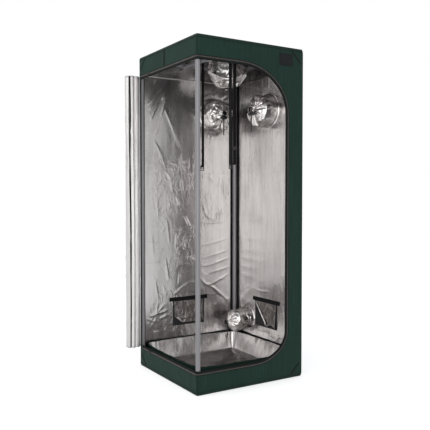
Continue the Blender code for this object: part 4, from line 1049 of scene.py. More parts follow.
@dataclass
class Cover:
    """The sewn cover: roof and floor lids, walls, bands, seams and corner gussets."""

    finishes: Finishes
    width: float = 0.600
    height: float = 1.600
    fabric: float = 0.0012
    edge_round: float = 0.0127
    skirt: float = 0.0020
    seam: float = 0.0003
    wrap: float = 0.0280
    step: float = 0.0046
    seam_height: float = 1.512
    door_right: float = 0.204
    zip_top: float = 1.500
    zip_bottom: float = 0.098
    lip: float = 0.011
    top_curve: tuple[float, float] = (0.270, 0.215)
    bottom_curve: tuple[float, float] = (0.190, 0.138)
    piping: float = 0.0011
    tape_gap: float = 0.0016  # from a wall's film to the middle of a tape sewn on it

    def __post_init__(self) -> None:
        """Work out the places that follow from the sizes."""
        self.half = self.width / 2
        self.foot = self.half - self.edge_round
        self.low = self.edge_round + self.skirt + self.seam
        self.high = self.height - self.low
        self.cloths = [self.finishes.oxford, self.finishes.film]

    def arc(self, sx: int, sy: int, start: float, end: float) -> tuple:
        """The cover's line round one corner pole."""
        return ("arc", sx * self.foot, sy * self.foot, self.edge_round, start, end)

    def plans(self) -> dict[str, PlanLine]:
        """Plan lines of the five upright cloths, by the name of their CAD node."""
        half, foot, end = self.half, self.foot, self.half - self.wrap
        turn = math.degrees(self.seam / 2 / self.edge_round)
        left = PlanLine([("line", -half, end - self.seam, -half, -foot), self.arc(-1, -1, 180, 225 - turn)])
        return {
            "front_panel": PlanLine([self.arc(-1, -1, 225 + turn, 270), ("line", -foot, -half, foot, -half),
                                     self.arc(1, -1, 270, 315 - turn)]),
            "right_wall": PlanLine([self.arc(1, -1, 315 + turn, 360), ("line", half, -foot, half, foot),
                                    self.arc(1, 1, 0, 45 - turn)]),
            "back_wall": PlanLine([self.arc(1, 1, 45 + turn, 90), ("line", foot, half, -foot, half),
                                   self.arc(-1, 1, 90, 180), ("line", -half, foot, -half, end)]),
            "left_top_band": left, "left_bottom_band": left}

    def build(self) -> None:
        """Build every cloth of the cover with its seams."""
        upper, lower = (UPPER_PORT_Z, UPPER_PORT_RADIUS, 0.094), (LOWER_PORT_Z, LOWER_PORT_RADIUS, 0.058)
        self.wall("back_wall", -1, BACK_VENT_X, BACK_FOLDS, [(BACK_PORT_X, *upper)])
        self.wall("right_wall", 1, 0.0, RIGHT_FOLDS, [(RIGHT_PORT_Y, *upper), (LOWER_PORT_Y, *lower)])
        self.bands()
        self.front()
        self.lids()
        self.seams()
        self.pole_tapes()
        self.gussets()

    def keep(self, obj: Piece, node: str, flat: tuple[float, float], area: float | None = None) -> None:
        """Let a cloth stand for its CAD node, stretched over the frame.

        Args:
            obj: The cloth.
            node: Its CAD node.
            flat: Size of its cut; not used.
            area: Area of its cut where that isn't an oblong; not used.
        """
        bars = "floor_bar" if node in ("floor_panel", "left_bottom_band") else "roof_bar"
        settle(obj, "tent", node, flat=flat, held="stretched", rests_on=[f"{bars}_left", f"{bars}_back"],
               area=area)

    def columns(self, plan: PlanLine, extra: Sequence[float] = ()) -> Array:
        """Column places along a plan line, finer on its arcs.

        Args:
            plan: The line.
            extra: Further places to meet.

        Returns:
            Distances along the line.
        """
        stops = plan.stops()
        fine = [np.linspace(a, b, 5) for a, b, p in zip(stops, stops[1:], plan.parts) if p[0] == "arc"]
        return spaced([*stops, *extra, *np.concatenate(fine)], self.step)

    def wall(self, name: str, way: int, vent: float, folds: Sequence[tuple], ports: Sequence[tuple]) -> None:
        """One full wall, with its ports, vent window and pressed folds.

        Args:
            name: Name of its CAD node.
            way: Whether x (back wall) or y (right wall) rises or falls along the cloth.
            vent: x or y of its vent's middle.
            folds: Folds pressed into its film.
            ports: x or y, z and radius of each port, and half the side of its patch of cells.
        """
        plan = self.plans()[name]
        start = plan.stops()[1]
        end, middle = start + 2 * self.foot, start + self.foot
        rounds = [RoundHole(middle + way * at, z, radius - self.fabric, half)
                  for at, z, radius, half in ports]
        u, half = middle + way * vent, VENT_WIDTH / 2
        windows = [Window(u - half, u + half, VENT_LOW, VENT_HIGH)]
        marks_u = [u - half, u + half] + [h.u + s * h.half for h in rounds for s in (-1, 1)]
        marks_v = [VENT_LOW, VENT_HIGH] + [h.v + s * h.half for h in rounds for s in (-1, 1)]
        marks_v += [self.low, self.high] + [self.seam_height + k * 0.0025 for k in (-1, 0, 1)]
        us = self.columns(plan, marks_u)
        flat, quads = pierced_grid(us, spaced(marks_v, self.step), rounds, windows)
        free = FreeArea(start + 0.014, end - 0.014, self.low + 0.02, self.high - 0.02, rounds, windows)
        lining = WallLining(free, (start, end, self.low, self.high), folds, middle, way, self.seam_height)
        obj = cloth_sheet(f"{name}_cloth", plan.upright(flat, quads), self.fabric, self.cloths,
                          FaceWaves(free, len(folds)), lining)
        self.keep(obj, name, (us[-1] - us[0], self.high - self.low))

    def bands(self) -> None:
        """The strips above and below the side doorway."""
        for name, low, high in (("left_top_band", self.zip_top - self.lip, self.high),
                                ("left_bottom_band", self.low, self.zip_bottom + self.lip)):
            plan = self.plans()[name]
            us = self.columns(plan)
            surface = plan.upright(*pierced_grid(us, spaced([low, high], self.step)))
            waves = FaceWaves(FreeArea(us[0] + 0.02, us[-1] - 0.03, low - 0.1, high + 0.1), 5, 0.0004)
            self.keep(cloth_sheet(f"{name}_cloth", surface, self.fabric, self.cloths, waves), name,
                      (us[-1] - us[0], high - low))

    def doorway(self, inset: float, start: float, count: int = 40) -> tuple[Array, list[int]]:
        """Outline of the doorway in the flat coordinates of a cloth that passes the front.

        Straight lines join two quarter ellipses, x = right - a + a cos t, z = top - b + b sin t.

        Args:
            inset: Distance inside the zip line.
            start: First coordinate of the front's middle.
            count: Points on each ellipse.

        Returns:
            Points from the near corner's top to its bottom, and the numbers of the two bends' middles.
        """
        right = start + self.door_right - inset
        top, bottom = self.zip_top - inset, self.zip_bottom + inset
        t = np.linspace(math.pi / 2, 0, count)
        a, b = (c - inset for c in self.top_curve)
        upper = stacked(right - a + a * np.cos(t), top - b + b * np.sin(t))
        a, b = (c - inset for c in self.bottom_curve)
        lower = stacked(right - a + a * np.cos(t), bottom + b - b * np.sin(t))[::-1]
        lead = stacked(np.arange(0, upper[0, 0] - 0.002, 0.003), top)
        side = stacked(right, spaced([lower[0, 1], upper[-1, 1]], 0.007)[1:-1][::-1])
        tail = stacked(np.arange(0, lower[-1, 0] - 0.002, 0.003), bottom)[::-1]
        bends = [len(lead) + count // 2, len(lead) + count + len(side) + count // 2]
        return np.vstack([lead, upper, side, lower, tail]), bends

    def front(self) -> None:
        """The front panel: a band of cloth between the doorway's edge and the panel's edge.

        A point is a share of the way from the doorway outline to the outer edge, and the outer
        edge's corners face the middles of the doorway's two bends.
        """
        plan = self.plans()["front_panel"]
        inner, (first, second) = self.doorway(self.lip, plan.stops()[1] + self.foot)
        last, full = len(inner) - 1, plan.stops()[-1]
        corners = [(0.0, self.high), (full, self.high), (full, self.low), (0.0, self.low)]
        pieces = []
        for a, b, p, q in zip((0, first, second), (first, second, last), corners, corners[1:]):
            part = inner[a:b + 1]
            share = run(part) / run(part)[-1]
            if a == 0:
                share = self.match_start(share, part, full)
            elif b == last:
                share = 1 - self.match_start((1 - share)[::-1], part[::-1], full)[::-1]
            edge = np.array(p) + (np.array(q) - np.array(p)) * share[:, None]
            pieces.append(edge if a == 0 else edge[1:])
        rows = np.concatenate([np.linspace(0, 0.88, 17), np.linspace(0.90, 1.0, 7)])[:, None, None]
        flat = inner + (np.vstack(pieces) - inner) * rows
        surface = plan.upright(flat.reshape(-1, 2), grid_quads(len(rows), len(inner)))
        free = FreeArea(0.03, full - 0.03, self.low + 0.02, self.high - 0.02)
        obj = cloth_sheet("front_panel_cloth", surface, self.fabric, self.cloths, FaceWaves(free, 41, 0.0005))
        tall = self.high - self.low
        self.keep(obj, "front_panel", (full, tall), area=0.34 * full * tall)

    @staticmethod
    def match_start(share: Array, part: Array, full: float) -> Array:
        """Shares that keep the columns upright on the near corner's arc, and ease to the corner later."""
        blend = np.clip((share - 0.15) / 0.85, 0, 1) ** 1.5
        return part[:, 0] / full * (1 - blend) + share * blend

    def lids(self) -> None:
        """Roof and floor: a flat square, then a quarter-round rim and a short skirt."""
        port = RoundHole(ROOF_PORT_XY, ROOF_PORT_XY, ROOF_PORT_RADIUS - self.fabric, 0.112)
        edge = self.foot - 0.02
        for node, rounds in (("roof_panel", [port]), ("floor_panel", [])):
            marks = [h.u + s * h.half for h in rounds for s in (-1, 1)]
            places = spaced([-self.foot, self.foot] + marks, self.step * 1.4)
            flat, quads = pierced_grid(places, places, rounds)
            surface = dish(flat, quads, places, self.foot, self.edge_round, self.skirt * np.array([0.5, 1.0]))
            face = none
            if rounds:
                surface.points = surface.points + UP * self.height
                face = FaceWaves(FreeArea(-edge, edge, -edge, edge, rounds), 61, 0.0008)
            else:
                surface.upside_down()
            obj = cloth_sheet(f"{node}_cloth", surface, self.fabric, self.cloths, face)
            self.keep(obj, node, (self.width + 0.02, self.width + 0.02))

    def corner_loop(self, z: float, out: float) -> Array:
        """A rounded square round the tent at a height, standing off the cover.

        Args:
            z: Height.
            out: Distance off the cover.

        Returns:
            Points.
        """
        turns = [np.radians(np.linspace(90 * k - 90, 90 * k, 8)) for k in range(4)]
        arcs = [np.array(corner) * self.foot + (self.edge_round + out) * stacked(np.cos(a), np.sin(a))
                for corner, a in zip(CORNERS, turns)]
        parts = []
        for arc, following in zip(arcs, arcs[1:] + arcs[:1]):
            parts += [arc, arc[-1] + (following[0] - arc[-1]) * np.linspace(0, 1, 24)[1:-1, None]]
        return stacked(*np.vstack(parts).T, z)

    def seams(self) -> None:
        """Bound edges: a thin cord of folded cloth over each seam, and a pale strip that paints the highlight
        on the back wall's seam.
        """
        edge = self.finishes.dark_oxford
        out = self.piping * 0.4
        joint = self.edge_round + self.skirt + self.seam / 2
        dip = self.edge_round * (1 - math.sqrt(0.5)) - out
        for kind, depth, off in (("seam", joint, out), ("piping", dip, -dip)):
            for level, z in (("roof", self.height - depth), ("floor", depth)):
                settle(tube(f"{level}_{kind}", self.corner_loop(z, off), self.piping, edge, closed=True))
        # Painted highlight: a pale strip of the door's film along the back wall's seam.
        x = np.linspace(self.foot - 0.012, 0.012 - self.foot, 60)
        path = stacked(x, self.half - self.fabric - self.tape_gap, self.seam_height + 0.0012 * np.sin(x * 9))
        settle(band("back_seam_highlight_strip", path, UP, 0.0012, self.finishes.door_film, 0.0045))
        clear, gap = 0.011, 0.003
        whole = [(self.low, self.high)]
        split = [(self.low, self.zip_bottom - clear), (self.zip_top + clear, self.high)]
        place = self.foot + (self.edge_round + out) * math.sqrt(0.5)
        for name, sx, sy, spans in (("right_front", 1, -1, whole), ("right_back", 1, 1, whole),
                                    ("left_front", -1, -1, split)):
            for k, (z0, z1) in enumerate(spans):
                path = stacked(sx * place, sy * place, np.linspace(z0 + gap, z1 - gap, 40))
                settle(tube(f"seam_{name}_{k}", path, self.piping, edge))

    def pole_tapes(self) -> None:
        """Black tapes up the lining beside the two back poles."""
        z = np.linspace(self.low + 0.110, self.high - 0.012, 120)
        deep = self.half - self.fabric - self.tape_gap - 0.0005 * np.sin(z * 31)
        for name, place, width in (("back_right", 0.2715, 0.0105), ("right_back", 0.2685, 0.016),
                                   ("back_left", -0.2735, 0.0105)):
            wall = name.split("_")[0]
            path, across = ((stacked(place, deep, z), AXIS_X) if wall == "back"
                            else (stacked(deep, place, z), -AXIS_Y))
            settle(band(f"pole_tape_{name}", path, across, 0.0010, self.finishes.tape, width),
                   flat=(width, float(z[-1] - z[0])), held="stretched", rests_on=[f"{wall}_wall"])

    def gussets(self) -> None:
        """The bound long edges of the triangular patches that strengthen the walls' corners."""
        thick, width, lift = 0.0007, 0.0060, 0.0006
        for name, out in (("front", -AXIS_Y), ("right", AXIS_X), ("back", AXIS_Y), ("left", -AXIS_X)):
            across = np.cross(UP, out)
            for k, way in enumerate((1, -1)):
                for level, z, up in (("top", self.high, -1), ("bottom", self.low, 1)):
                    if (name, k) in (("front", 0), ("left", 1)):
                        continue
                    corner = (out * (self.half + lift + thick / 2) - across * way * self.foot
                              + UP * (z + up * 0.003))
                    ends = corner + np.array([across * way * 0.060, across * way * 0.008 + UP * up * 0.052])
                    normal = np.cross(unit(ends[1] - ends[0]), out)
                    settle(band(f"gusset_{name}_{k}_{level}", fair(ends, 12, 0), normal, thick * 2,
                                self.finishes.tape, width, 5))


# ---------------------------------------------------------------- doorway zip and open door


@dataclass
class Zip:
    """The half of the zip that is sewn round the doorway: a tape and its coil."""

    finishes: Finishes
    cover: Cover
    tape_width: float = 0.0160
    tape_thickness: float = 0.0009
    gap: float = 0.0003
    coil_width: float = 0.0060
    coil_height: float = 0.0018
    pitch: float = 0.0026
    end_gap: float = 0.0060

    def route(self, step: float, inset: float = 0.0) -> tuple[Array, Array, Array]:
        """Even places along the zip on the cover's face.

        Args:
            step: Distance between them.
            inset: Distance inside the zip line.

        Returns:
            Points, outward normals and the way out of the doorway.
        """
        c = self.cover
        plan = PlanLine([("line", -c.half, c.half - c.wrap - c.seam - self.end_gap, -c.half, -c.foot),
                         c.arc(-1, -1, 180, 270), ("line", -c.foot, -c.half, c.foot, -c.half)])
        flat, _ = c.doorway(inset, plan.stops()[2] + c.foot)
        flat = fair(flat, int(run(flat)[-1] / step), 0)
        way = unit(np.gradient(flat, axis=0))
        surface = plan.upright(flat, np.zeros((0, 4), int))
        out = surface.normals
        return surface.points, out, np.cross(UP, out) * -way[:, 1:] + UP * way[:, :1]

    def build(self) -> None:
        """Build the tape, its coil, the two rows of stitches that hold it and the doorway's binding."""
        points, out, across = self.route(0.006)
        tape = band("zip_tape_cloth", points + out * (self.gap + self.tape_thickness / 2), across,
                    self.tape_thickness, self.finishes.zip_tape, self.tape_width, 9)
        settle(tape, "tent", "zip_tape")
        top = self.gap + self.tape_thickness
        points, out, across = self.route(self.pitch)
        tooth = bead_shape((self.pitch * 0.36, self.coil_width / 2, self.coil_height / 2))
        extras = [settle(repeated("zip_coil", points + out * top, np.cross(across, out), across, tooth,
                                  self.finishes.coil))]
        points, out, across = self.route(0.012)
        for k, side in enumerate((-1, 1)):
            seam = points + out * top + across * side * self.tape_width * 0.41
            settle(stitches(f"zip_stitches_{k}", seam, out, self.finishes.thread))
        points, out, _ = self.route(0.008, self.cover.lip)
        extras.append(settle(tube("doorway_binding", points - out * self.cover.fabric / 2, 0.0030,
                                  self.finishes.tape)))


@dataclass
class DoorBundle:
    """The open door: one cloth wrapped round itself, then laid in upright pleats inside."""

    finishes: Finishes
    centre: tuple[float, float] = (-0.3445, 0.2850)
    half: tuple[float, float] = (0.0355, 0.0335)
    low: float = 0.107
    high: float = 1.498
    seam: tuple[float, float] = (-0.3015, 0.277)
    folds: int = 6
    crease: float = 0.10
    grooves: tuple[tuple[float, float, float, int], ...] = ((-133, 5, 0.30, 4), (-80, 13, 0.42, 2))
    pleats: int = 11
    fabric: float = 0.0011

    def plan(self) -> Array:
        """The cloth's line in plan: from its seam round the outside, then to and fro inside.

        Outside, the radius is 1 - crease * (1 - |sin|)^2 of the ellipse, less two grooves of
        depth * exp(-|turn off the groove's bearing / half its width|^power). Inside, each pleat is
        a straight run between two points of a smaller ellipse.

        Returns:
            Points, as shares of the half sizes about the centre.
        """
        start = (np.array(self.seam) - self.centre) / self.half - (0.06, 0)
        a = np.radians(np.linspace(-12, -342, 440))
        r = 1 - self.crease * (1 - np.abs(np.sin(a * self.folds / 2))) ** 2
        for bearing, half, depth, power in self.grooves:
            r -= depth * np.exp(-(np.abs(np.degrees(a) - bearing) / half) ** power)
        outside = stacked(r * np.cos(a), r * np.sin(a))
        path = [start[None], start[None] * 0.6 + outside[:1] * 0.4, outside, [[0.78, 0.42], [0.74, 0.56]]]
        for k, y in enumerate(np.linspace(0.60, -0.60, self.pleats)):
            x = math.sqrt(0.60 - y * y * 0.9) * 0.86 * (1 if k % 2 == 0 else -1)
            path.append(stacked(np.linspace(x, -x, 9), y))
        return fair(np.vstack(path), 440, 2)

    def build(self) -> None:
        """Build the cloth, whose rows sway, swell and turn a little, then its bead and zip edge."""
        line = self.plan()
        z = np.linspace(self.low, self.high, 110)[:, None]
        share = (z - self.low) / (self.high - self.low)
        held = np.clip(np.linspace(0, 1, len(line)) * 9, 0, 1)
        angle, radius = np.arctan2(line[:, 1], line[:, 0]), np.hypot(line[:, 0], line[:, 1])
        wave = (np.sin(share * 19 + angle * 3) * 0.35 + np.sin(share * 7.3 + angle * 2 + 1) * 0.5
                + np.sin(share * 43 + angle * 5 + 2) * 0.15)
        grow = 1 + 0.045 * wave * held * radius
        twist = 0.10 * np.sin(share * 5.0) * held * (radius > 0.1)
        cos, sin = np.cos(twist), np.sin(twist)
        points = self.at(stacked((line[:, 0] * cos - line[:, 1] * sin) * grow,
                                 (line[:, 0] * sin + line[:, 1] * cos) * grow), z)
        along = run(line * np.array(self.half))
        surface = grid_surface(points, stacked(along, z))
        surface.turn_over()
        small = Creases(220, 0.0011, 0.005, 0.05, (0.0, 0.25, self.low, self.high), 77, math.pi / 2, 2.6)
        cloths = [self.finishes.door_film, self.finishes.oxford]
        obj = settle(cloth_sheet("door_cloth", surface, self.fabric, cloths, small), "door", "door_bundle")
        z = np.linspace(self.low + 0.002, self.high - 0.002, 60)
        bead = settle(tube("door_bead", stacked(*self.seam, z), 0.0011, self.finishes.dark_oxford), "door")
        reach = 0.93 - 0.19 * np.linspace(1, 0, 60) ** 3
        bearing = np.radians(self.grooves[0][0] + 2.5 * np.sin(z * 11))
        path = self.at(stacked(reach * np.cos(bearing), reach * np.sin(bearing)), z)
        edge = settle(tube("door_zip_edge", path, 0.0040, self.finishes.tape), "door")

    def at(self, shares: Array, z: Array) -> Array:
        """Points of the bundle from shares of its half sizes and heights."""
        place = self.centre + shares * self.half
        return stacked(place[..., 0], place[..., 1], z)


# ---------------------------------------------------------------- tray, sleeves, cords


@dataclass
class FloorTray:
    """The loose floor tray: a shallow open box with rounded, puckered corners and a rolled hem."""

    finishes: Finishes
    half: float = 0.2755
    low: float = 0.0015
    high: float = 0.1205
    corner: float = 0.0140
    fabric: float = 0.0012
    flare: float = 0.0200
    rise: float = 0.0220
    rise_start: float = 0.12
    bow: float = 0.0125
    pucker: float = 0.022

    def build(self) -> None:
        """Build the tray as a dish turned upwards; its walls lean and its corners pucker."""
        foot = self.half - self.corner - self.flare
        places = spaced([-foot, foot], 0.0065)
        walls = np.linspace(0.006, self.high - self.low - self.corner, 17)
        surface = dish(*pierced_grid(places, places), places, foot, self.corner, walls)
        surface.upside_down()
        surface.points += UP * self.low
        self.slacken(surface, foot)
        rim = surface.points[surface.points[:, 2] > self.high - 0.0002]
        area = (-foot, foot, -foot, foot)
        fine, broad = Creases(110, 0.0009, 0.006, 0.07, area, 91), Creases(16, 0.0014, 0.016, 0.15, area, 92)
        cloths = [self.finishes.oxford, self.finishes.film]
        obj = settle(cloth_sheet("tray_cloth", surface, self.fabric, cloths, none,
                                 lambda cloth: fine(cloth) + broad(cloth)), "tray", "floor_tray")
        rim = rim[np.argsort(np.arctan2(rim[:, 1], rim[:, 0]))]
        path = rim - unit(rim * (1, 1, 0)) * self.fabric / 2 - UP * 0.0008
        hem = settle(tube("tray_hem", path, 0.0014, self.finishes.dark_oxford, closed=True), "tray")

    def slacken(self, surface: Surface, foot: float) -> None:
        """Lift the floor's edges, flare and bow the walls and pucker them near the corners.

        The floor rises by rise * s^2 * (3 - 2 s), with s from 0 at 120 mm off the middle to 1 at its
        edge. Outward shift = flare * height + bow * height * (1 - (side / foot)^4), less sines along
        the wall and folds of 22 mm near a corner.

        Args:
            surface: The tray's outer face, which is changed.
            foot: Half of its flat square.
        """
        p = surface.points
        up = np.clip((p[:, 2] - self.low - self.corner) / (self.high - self.low - self.corner), 0, 1)
        side = np.abs(p[:, :2]).min(1)
        slant = p[:, 0] + p[:, 1] * 1.7
        near = bell(side, foot, 0.035) * (side < foot)
        shift = up ** 1.5 * (0.0016 * np.sin(slant * 34) + 0.0008 * np.sin(slant * 83 + 1)) - self.flare * up
        shift += up ** 1.2 * near * 0.0030 * (1 + np.sin(side * math.tau / self.pucker))
        shift -= self.bow * up * (1 - np.clip(side / foot, 0, 1) ** 4)
        surface.points = p - surface.normals * (1, 1, 0) * shift[:, None]
        s = np.clip((np.abs(p[:, :2]).max(1) - self.rise_start) / (foot - self.rise_start), 0, 1)
        surface.points[:, 2] += self.rise * ease(s) * (self.high - p[:, 2]) / (self.high - self.low)


@dataclass(frozen=True)
class Profile:
    """How a sleeve narrows: shares of its length and of the way from its neck to its port."""

    lengths: tuple[float, ...]
    radii: tuple[float, ...]

    def curve(self, count: int) -> tuple[Array, Array]:
        """Even, rounded points along the profile: columns of length and radius shares."""
        path = fair(stacked(self.lengths, self.radii), count, 3)
        return path[:, :1], np.clip(path[:, 1:], 0, None)


DRUM = Profile((0.0, 0.06, 0.35, 0.62, 0.74, 0.80, 0.84, 0.89, 0.95, 1.0),
               (1.0, 1.0, 1.02, 1.0, 0.86, 0.50, 0.12, 0.0, 0.0, 0.10))
BASKET = Profile((0.0, 0.06, 0.30, 0.55, 0.68, 0.79, 0.87, 0.90, 0.98, 1.0),
                 (1.0, 0.99, 1.0, 0.97, 0.80, 0.56, 0.33, 0.0, 0.0, 0.05))
SOCK = Profile((0.0, 0.08, 0.20, 0.30, 0.45, 0.62, 0.76, 0.85, 0.91, 0.96, 1.0),
               (1.0, 0.98, 0.86, 1.04, 1.16, 1.16, 0.98, 0.40, 0.0, 0.0, 0.14))


@dataclass(frozen=True)
class Sleeve:
    """One duct sleeve: where it stands and how it hangs.

    Attributes:
        node: Its CAD node.
        centre: Middle of its port on the cover's inner face.
        inward: Direction into the tent.
        across: Direction in which its points begin.
        radius: Radius of its port.
        profile: How it narrows.
        seed: Seed of its crumples.
        neck: Radius of its drawn neck.
        length: How far in it reaches.
        droop: How far its end hangs down.
        slack: Depth of its crumples.
        rings: Height of the ring pleats near the wall.
        lobe: How far two sides of it hang down, the roof sleeve's only.
        lobe_turn: Bearing of the deeper of the two.
    """

    node: str
    centre: tuple[float, float, float]
    inward: Array
    across: Array
    radius: float
    profile: Profile
    seed: int
    neck: float = 0.006
    length: float = 0.120
    droop: float = 0.0
    slack: float = 0.0050
    rings: float = 0.0020
    lobe: float = 0.0
    lobe_turn: float = 0.553


@dataclass
class Ducts:
    """The four duct sleeves, the roof sleeve's tie, and the drawcords of the others."""

    finishes: Finishes
    cover: Cover
    fabric: float = 0.0010
    gap: float = 0.0003
    flange: float = 0.0065
    cord: float = 0.0030
    spacing: float = 0.0036
    lock_drop: float = 0.0120

    def build(self) -> None:
        """Build the sleeves where the cover's ports are, then what ties them shut."""
        wall, top = self.cover.half - self.cover.fabric, self.cover.height - self.cover.fabric
        back, right, down = -AXIS_Y, -AXIS_X, -UP
        sleeves = [
            Sleeve("back_sleeve", (BACK_PORT_X, wall, UPPER_PORT_Z), back, AXIS_X,
                   UPPER_PORT_RADIUS, DRUM, 3),
            Sleeve("right_upper_sleeve", (wall, RIGHT_PORT_Y, UPPER_PORT_Z), right, -AXIS_Y,
                   UPPER_PORT_RADIUS, DRUM, 5),
            Sleeve("right_lower_sleeve", (wall, LOWER_PORT_Y, LOWER_PORT_Z), right, -AXIS_Y,
                   LOWER_PORT_RADIUS, SOCK, 8, length=0.154, droop=0.010, slack=0.0028, rings=0.0034),
            Sleeve("roof_sleeve", (ROOF_PORT_XY, ROOF_PORT_XY, top), down, AXIS_X,
                   ROOF_PORT_RADIUS, BASKET, 13, neck=0.014, length=0.150, slack=0.0075, rings=0.0,
                   lobe=0.022)]
        for s in sleeves:
            self.sleeve(s)
        self.roof_tie(sleeves[3])
        for node, s, tail in zip(("back_drawcord", "right_drawcord", "lower_drawcord"), sleeves,
                                 (0.100, 0.100, 0.070)):
            self.drawcord(node, s, tail)

    def sleeve(self, s: Sleeve) -> None:
        """One sleeve: a profile of revolution whose radius is pleated towards its neck.

        The radius is (neck + share * (port - neck)) * (1 + swells * along + a fine pleat at the neck),
        with ring pleats near the wall, less crumples that are strongest halfway along. Two lobes
        hang down by lobe * (cos 2t - 0.35 cos t), where t is the bearing from the deeper one.

        Args:
            s: The sleeve.
        """
        rng = np.random.default_rng(s.seed)
        along, wide = s.profile.curve(64)
        columns = 168
        a = np.arange(columns) * math.tau / columns
        bend = 0.35 * np.sin(a * 2 + rng.uniform(0, 6)) + 0.22 * np.sin(a * 3 + rng.uniform(0, 6))
        broad = np.sin(a * 3 + bend * 3) * 0.45 + np.sin(a * 5 + bend * 5 + rng.uniform(0, 6)) * 0.55
        fine = np.sin(a * 13 + bend * 6 + rng.uniform(0, 6))
        base = s.neck + (s.radius - s.neck) * wide
        room = np.clip((base - s.neck) / (s.radius - s.neck), 0, 1)
        grow = 0.24 * np.clip(along - 0.2, 0, 1) * room
        radius = base * (1 + grow * broad + 0.16 * bell(along, 0.86, 0.09) * fine)
        ring = np.sin(along * s.length * math.tau / 0.0100 + 1.2 * np.sin(a * 2 + s.seed))
        radius += s.rings * ring * bell(along, 0.24, 0.20) * (0.75 + 0.25 * np.sin(a * 3))
        cloth = stacked(a * s.radius, along * s.length)
        free = np.sin(np.clip(along / 0.9, 0, 1) * math.pi) * room
        area = (0, math.tau * s.radius, 0, s.length)
        dents = Creases(26, 1.0, 0.017, 0.07, area, s.seed, math.pi / 2, 2.4)
        radius -= s.slack * free * dents(cloth.reshape(-1, 2)).reshape(radius.shape) * 0.8
        size = s.radius
        folds = Creases(15, s.slack * 1.5, size * 0.11, size * 0.75, (-size, size, -size, size), s.seed + 20)
        flat = stacked(radius * np.cos(a), radius * np.sin(a)).reshape(-1, 2)
        pushed = folds(flat).reshape(radius.shape) * np.clip((along - 0.45) / 0.25, 0, 1) * room ** 0.5
        side = a - s.lobe_turn
        ear = s.lobe * bell(along, 0.46, 0.24) * (np.cos(2 * side) - 0.35 * np.cos(side))
        sag = along ** 2 * s.droop + free * s.slack * 0.8 * (s.inward[2] > -0.5) - ear
        ray = s.across * np.cos(a)[:, None] + np.cross(s.inward, s.across) * np.sin(a)[:, None]
        depth = self.fabric + self.gap + s.length * along - pushed
        points = (s.centre + s.inward * depth[..., None] + ray * (radius + ear * 0.35)[..., None]
                  - UP * sag[..., None])
        flange = s.centre + s.inward * (self.fabric + self.gap) + ray * (s.radius + self.flange)
        points = np.vstack([flange[None], points])
        surface = grid_surface(points, np.vstack([cloth[:1] - (0, self.flange), cloth]), closed=True)
        surface.normals[:columns] = s.inward
        surface.normals[columns:2 * columns] = (surface.normals[columns:2 * columns] + s.inward) / 2
        small = Creases(150, 0.0016, 0.0035, 0.03, area, s.seed + 50)
        obj = settle(cloth_sheet(f"{s.node}_cloth", surface, self.fabric,
                                 [self.finishes.lit_sleeve_film, self.finishes.tape],
                                 lambda c: small(c) * np.clip(c[:, 1] / 0.02, 0, 1)
                                 * np.clip((s.length * 0.86 - c[:, 1]) / 0.02, 0, 1)), "tent", s.node)
        path = self.neck_place(s) + s.inward * np.array([[-0.0015], [0.0], [0.0015]])
        plug = settle(tube(f"{s.node}_gather", path, s.neck * 0.97, self.finishes.tape, 20))

    def neck_place(self, s: Sleeve) -> Array:
        """The middle of a sleeve's drawn neck, where its cord and the gathered cloth lie."""
        share = (s.profile.lengths[-3] + s.profile.lengths[-2]) / 2
        return s.centre + s.inward * (self.fabric + self.gap + s.length * share) - UP * s.droop * share ** 2

    def roof_tie(self, s: Sleeve) -> None:
        """Three close turns of cord round the roof sleeve's neck.

        Args:
            s: The roof sleeve.
        """
        turns = 3
        t = np.linspace(0, 1, 44 * turns)
        a = t * turns * math.tau
        radius = 0.0197 + 0.0008 * np.sin(a * 2)
        z = s.centre[2] - self.fabric - self.gap - s.length * 0.94
        path = stacked(s.centre[0] + radius * np.cos(a), s.centre[1] + radius * np.sin(a),
                       z + (t - 0.5) * 0.0052)
        settle(tube("roof_tie_cord", path, 0.0014, self.finishes.cord), "tent", "roof_sleeve_tie")

    def drawcord(self, node: str, s: Sleeve, tail: float) -> None:
        """A drawcord as two halves that run from the top of the neck down to their knot.

        Each half is a half ring round the neck, then two straights down through the lock. The
        knot is a trefoil: x = sin t + 2 sin 2t, y = cos t - 2 cos 2t, z = -sin 3t.

        Args:
            node: Its CAD node.
            s: Its sleeve.
            tail: Length of its tail below the lock.
        """
        neck, across = self.neck_place(s), np.abs(s.across)
        ring = s.neck * 1.1 + self.cord / 2 + 0.0005
        low = -self.lock_drop - self.cord / 2
        a = np.radians(np.linspace(88, -45, 15))
        u = np.concatenate([ring * np.cos(a), [0.0036, 0.0019], np.full(12, self.spacing / 2)])
        v = np.concatenate([ring * np.sin(a), [-0.0095, -0.012], low - tail * np.linspace(0, 0.985, 12)])
        flat = fair(stacked(u, v), 40, 2)
        for k, side in enumerate((1, -1)):
            path = neck + across * side * flat[:, :1] + UP * flat[:, 1:]
            curve = bpy.data.curves.new(f"{node}_half_{k}", "CURVE")
            curve.dimensions = "3D"
            curve.bevel_depth = self.cord / 2
            curve.bevel_resolution = 3
            curve.use_fill_caps = True
            spline = curve.splines.new("POLY")
            spline.points.add(len(path) - 1)
            spline.points.foreach_set("co", stacked(*path.T, 1.0).ravel())
            curve.materials.append(self.finishes.cord)
            obj = bpy.data.objects.new(f"{node}_half_{k}", curve)
            bpy.context.scene.collection.objects.link(obj)
            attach(obj, "tent")
            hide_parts(node)
        t = np.linspace(0, math.tau, 72, endpoint=False)
        trefoil = stacked(np.sin(t) + 2 * np.sin(2 * t), -np.sin(3 * t), np.cos(t) - 2 * np.cos(2 * t))
        path = trefoil * (0.00082, 0.00095, 0.00095) @ np.array([across, s.inward, UP])
        path = neck + UP * (low - tail + 0.001) + path
        knot = settle(tube(f"{node}_knot", path, 0.00115, self.finishes.cord, closed=True))


# ---------------------------------------------------------------- vents, straps, patch and tie


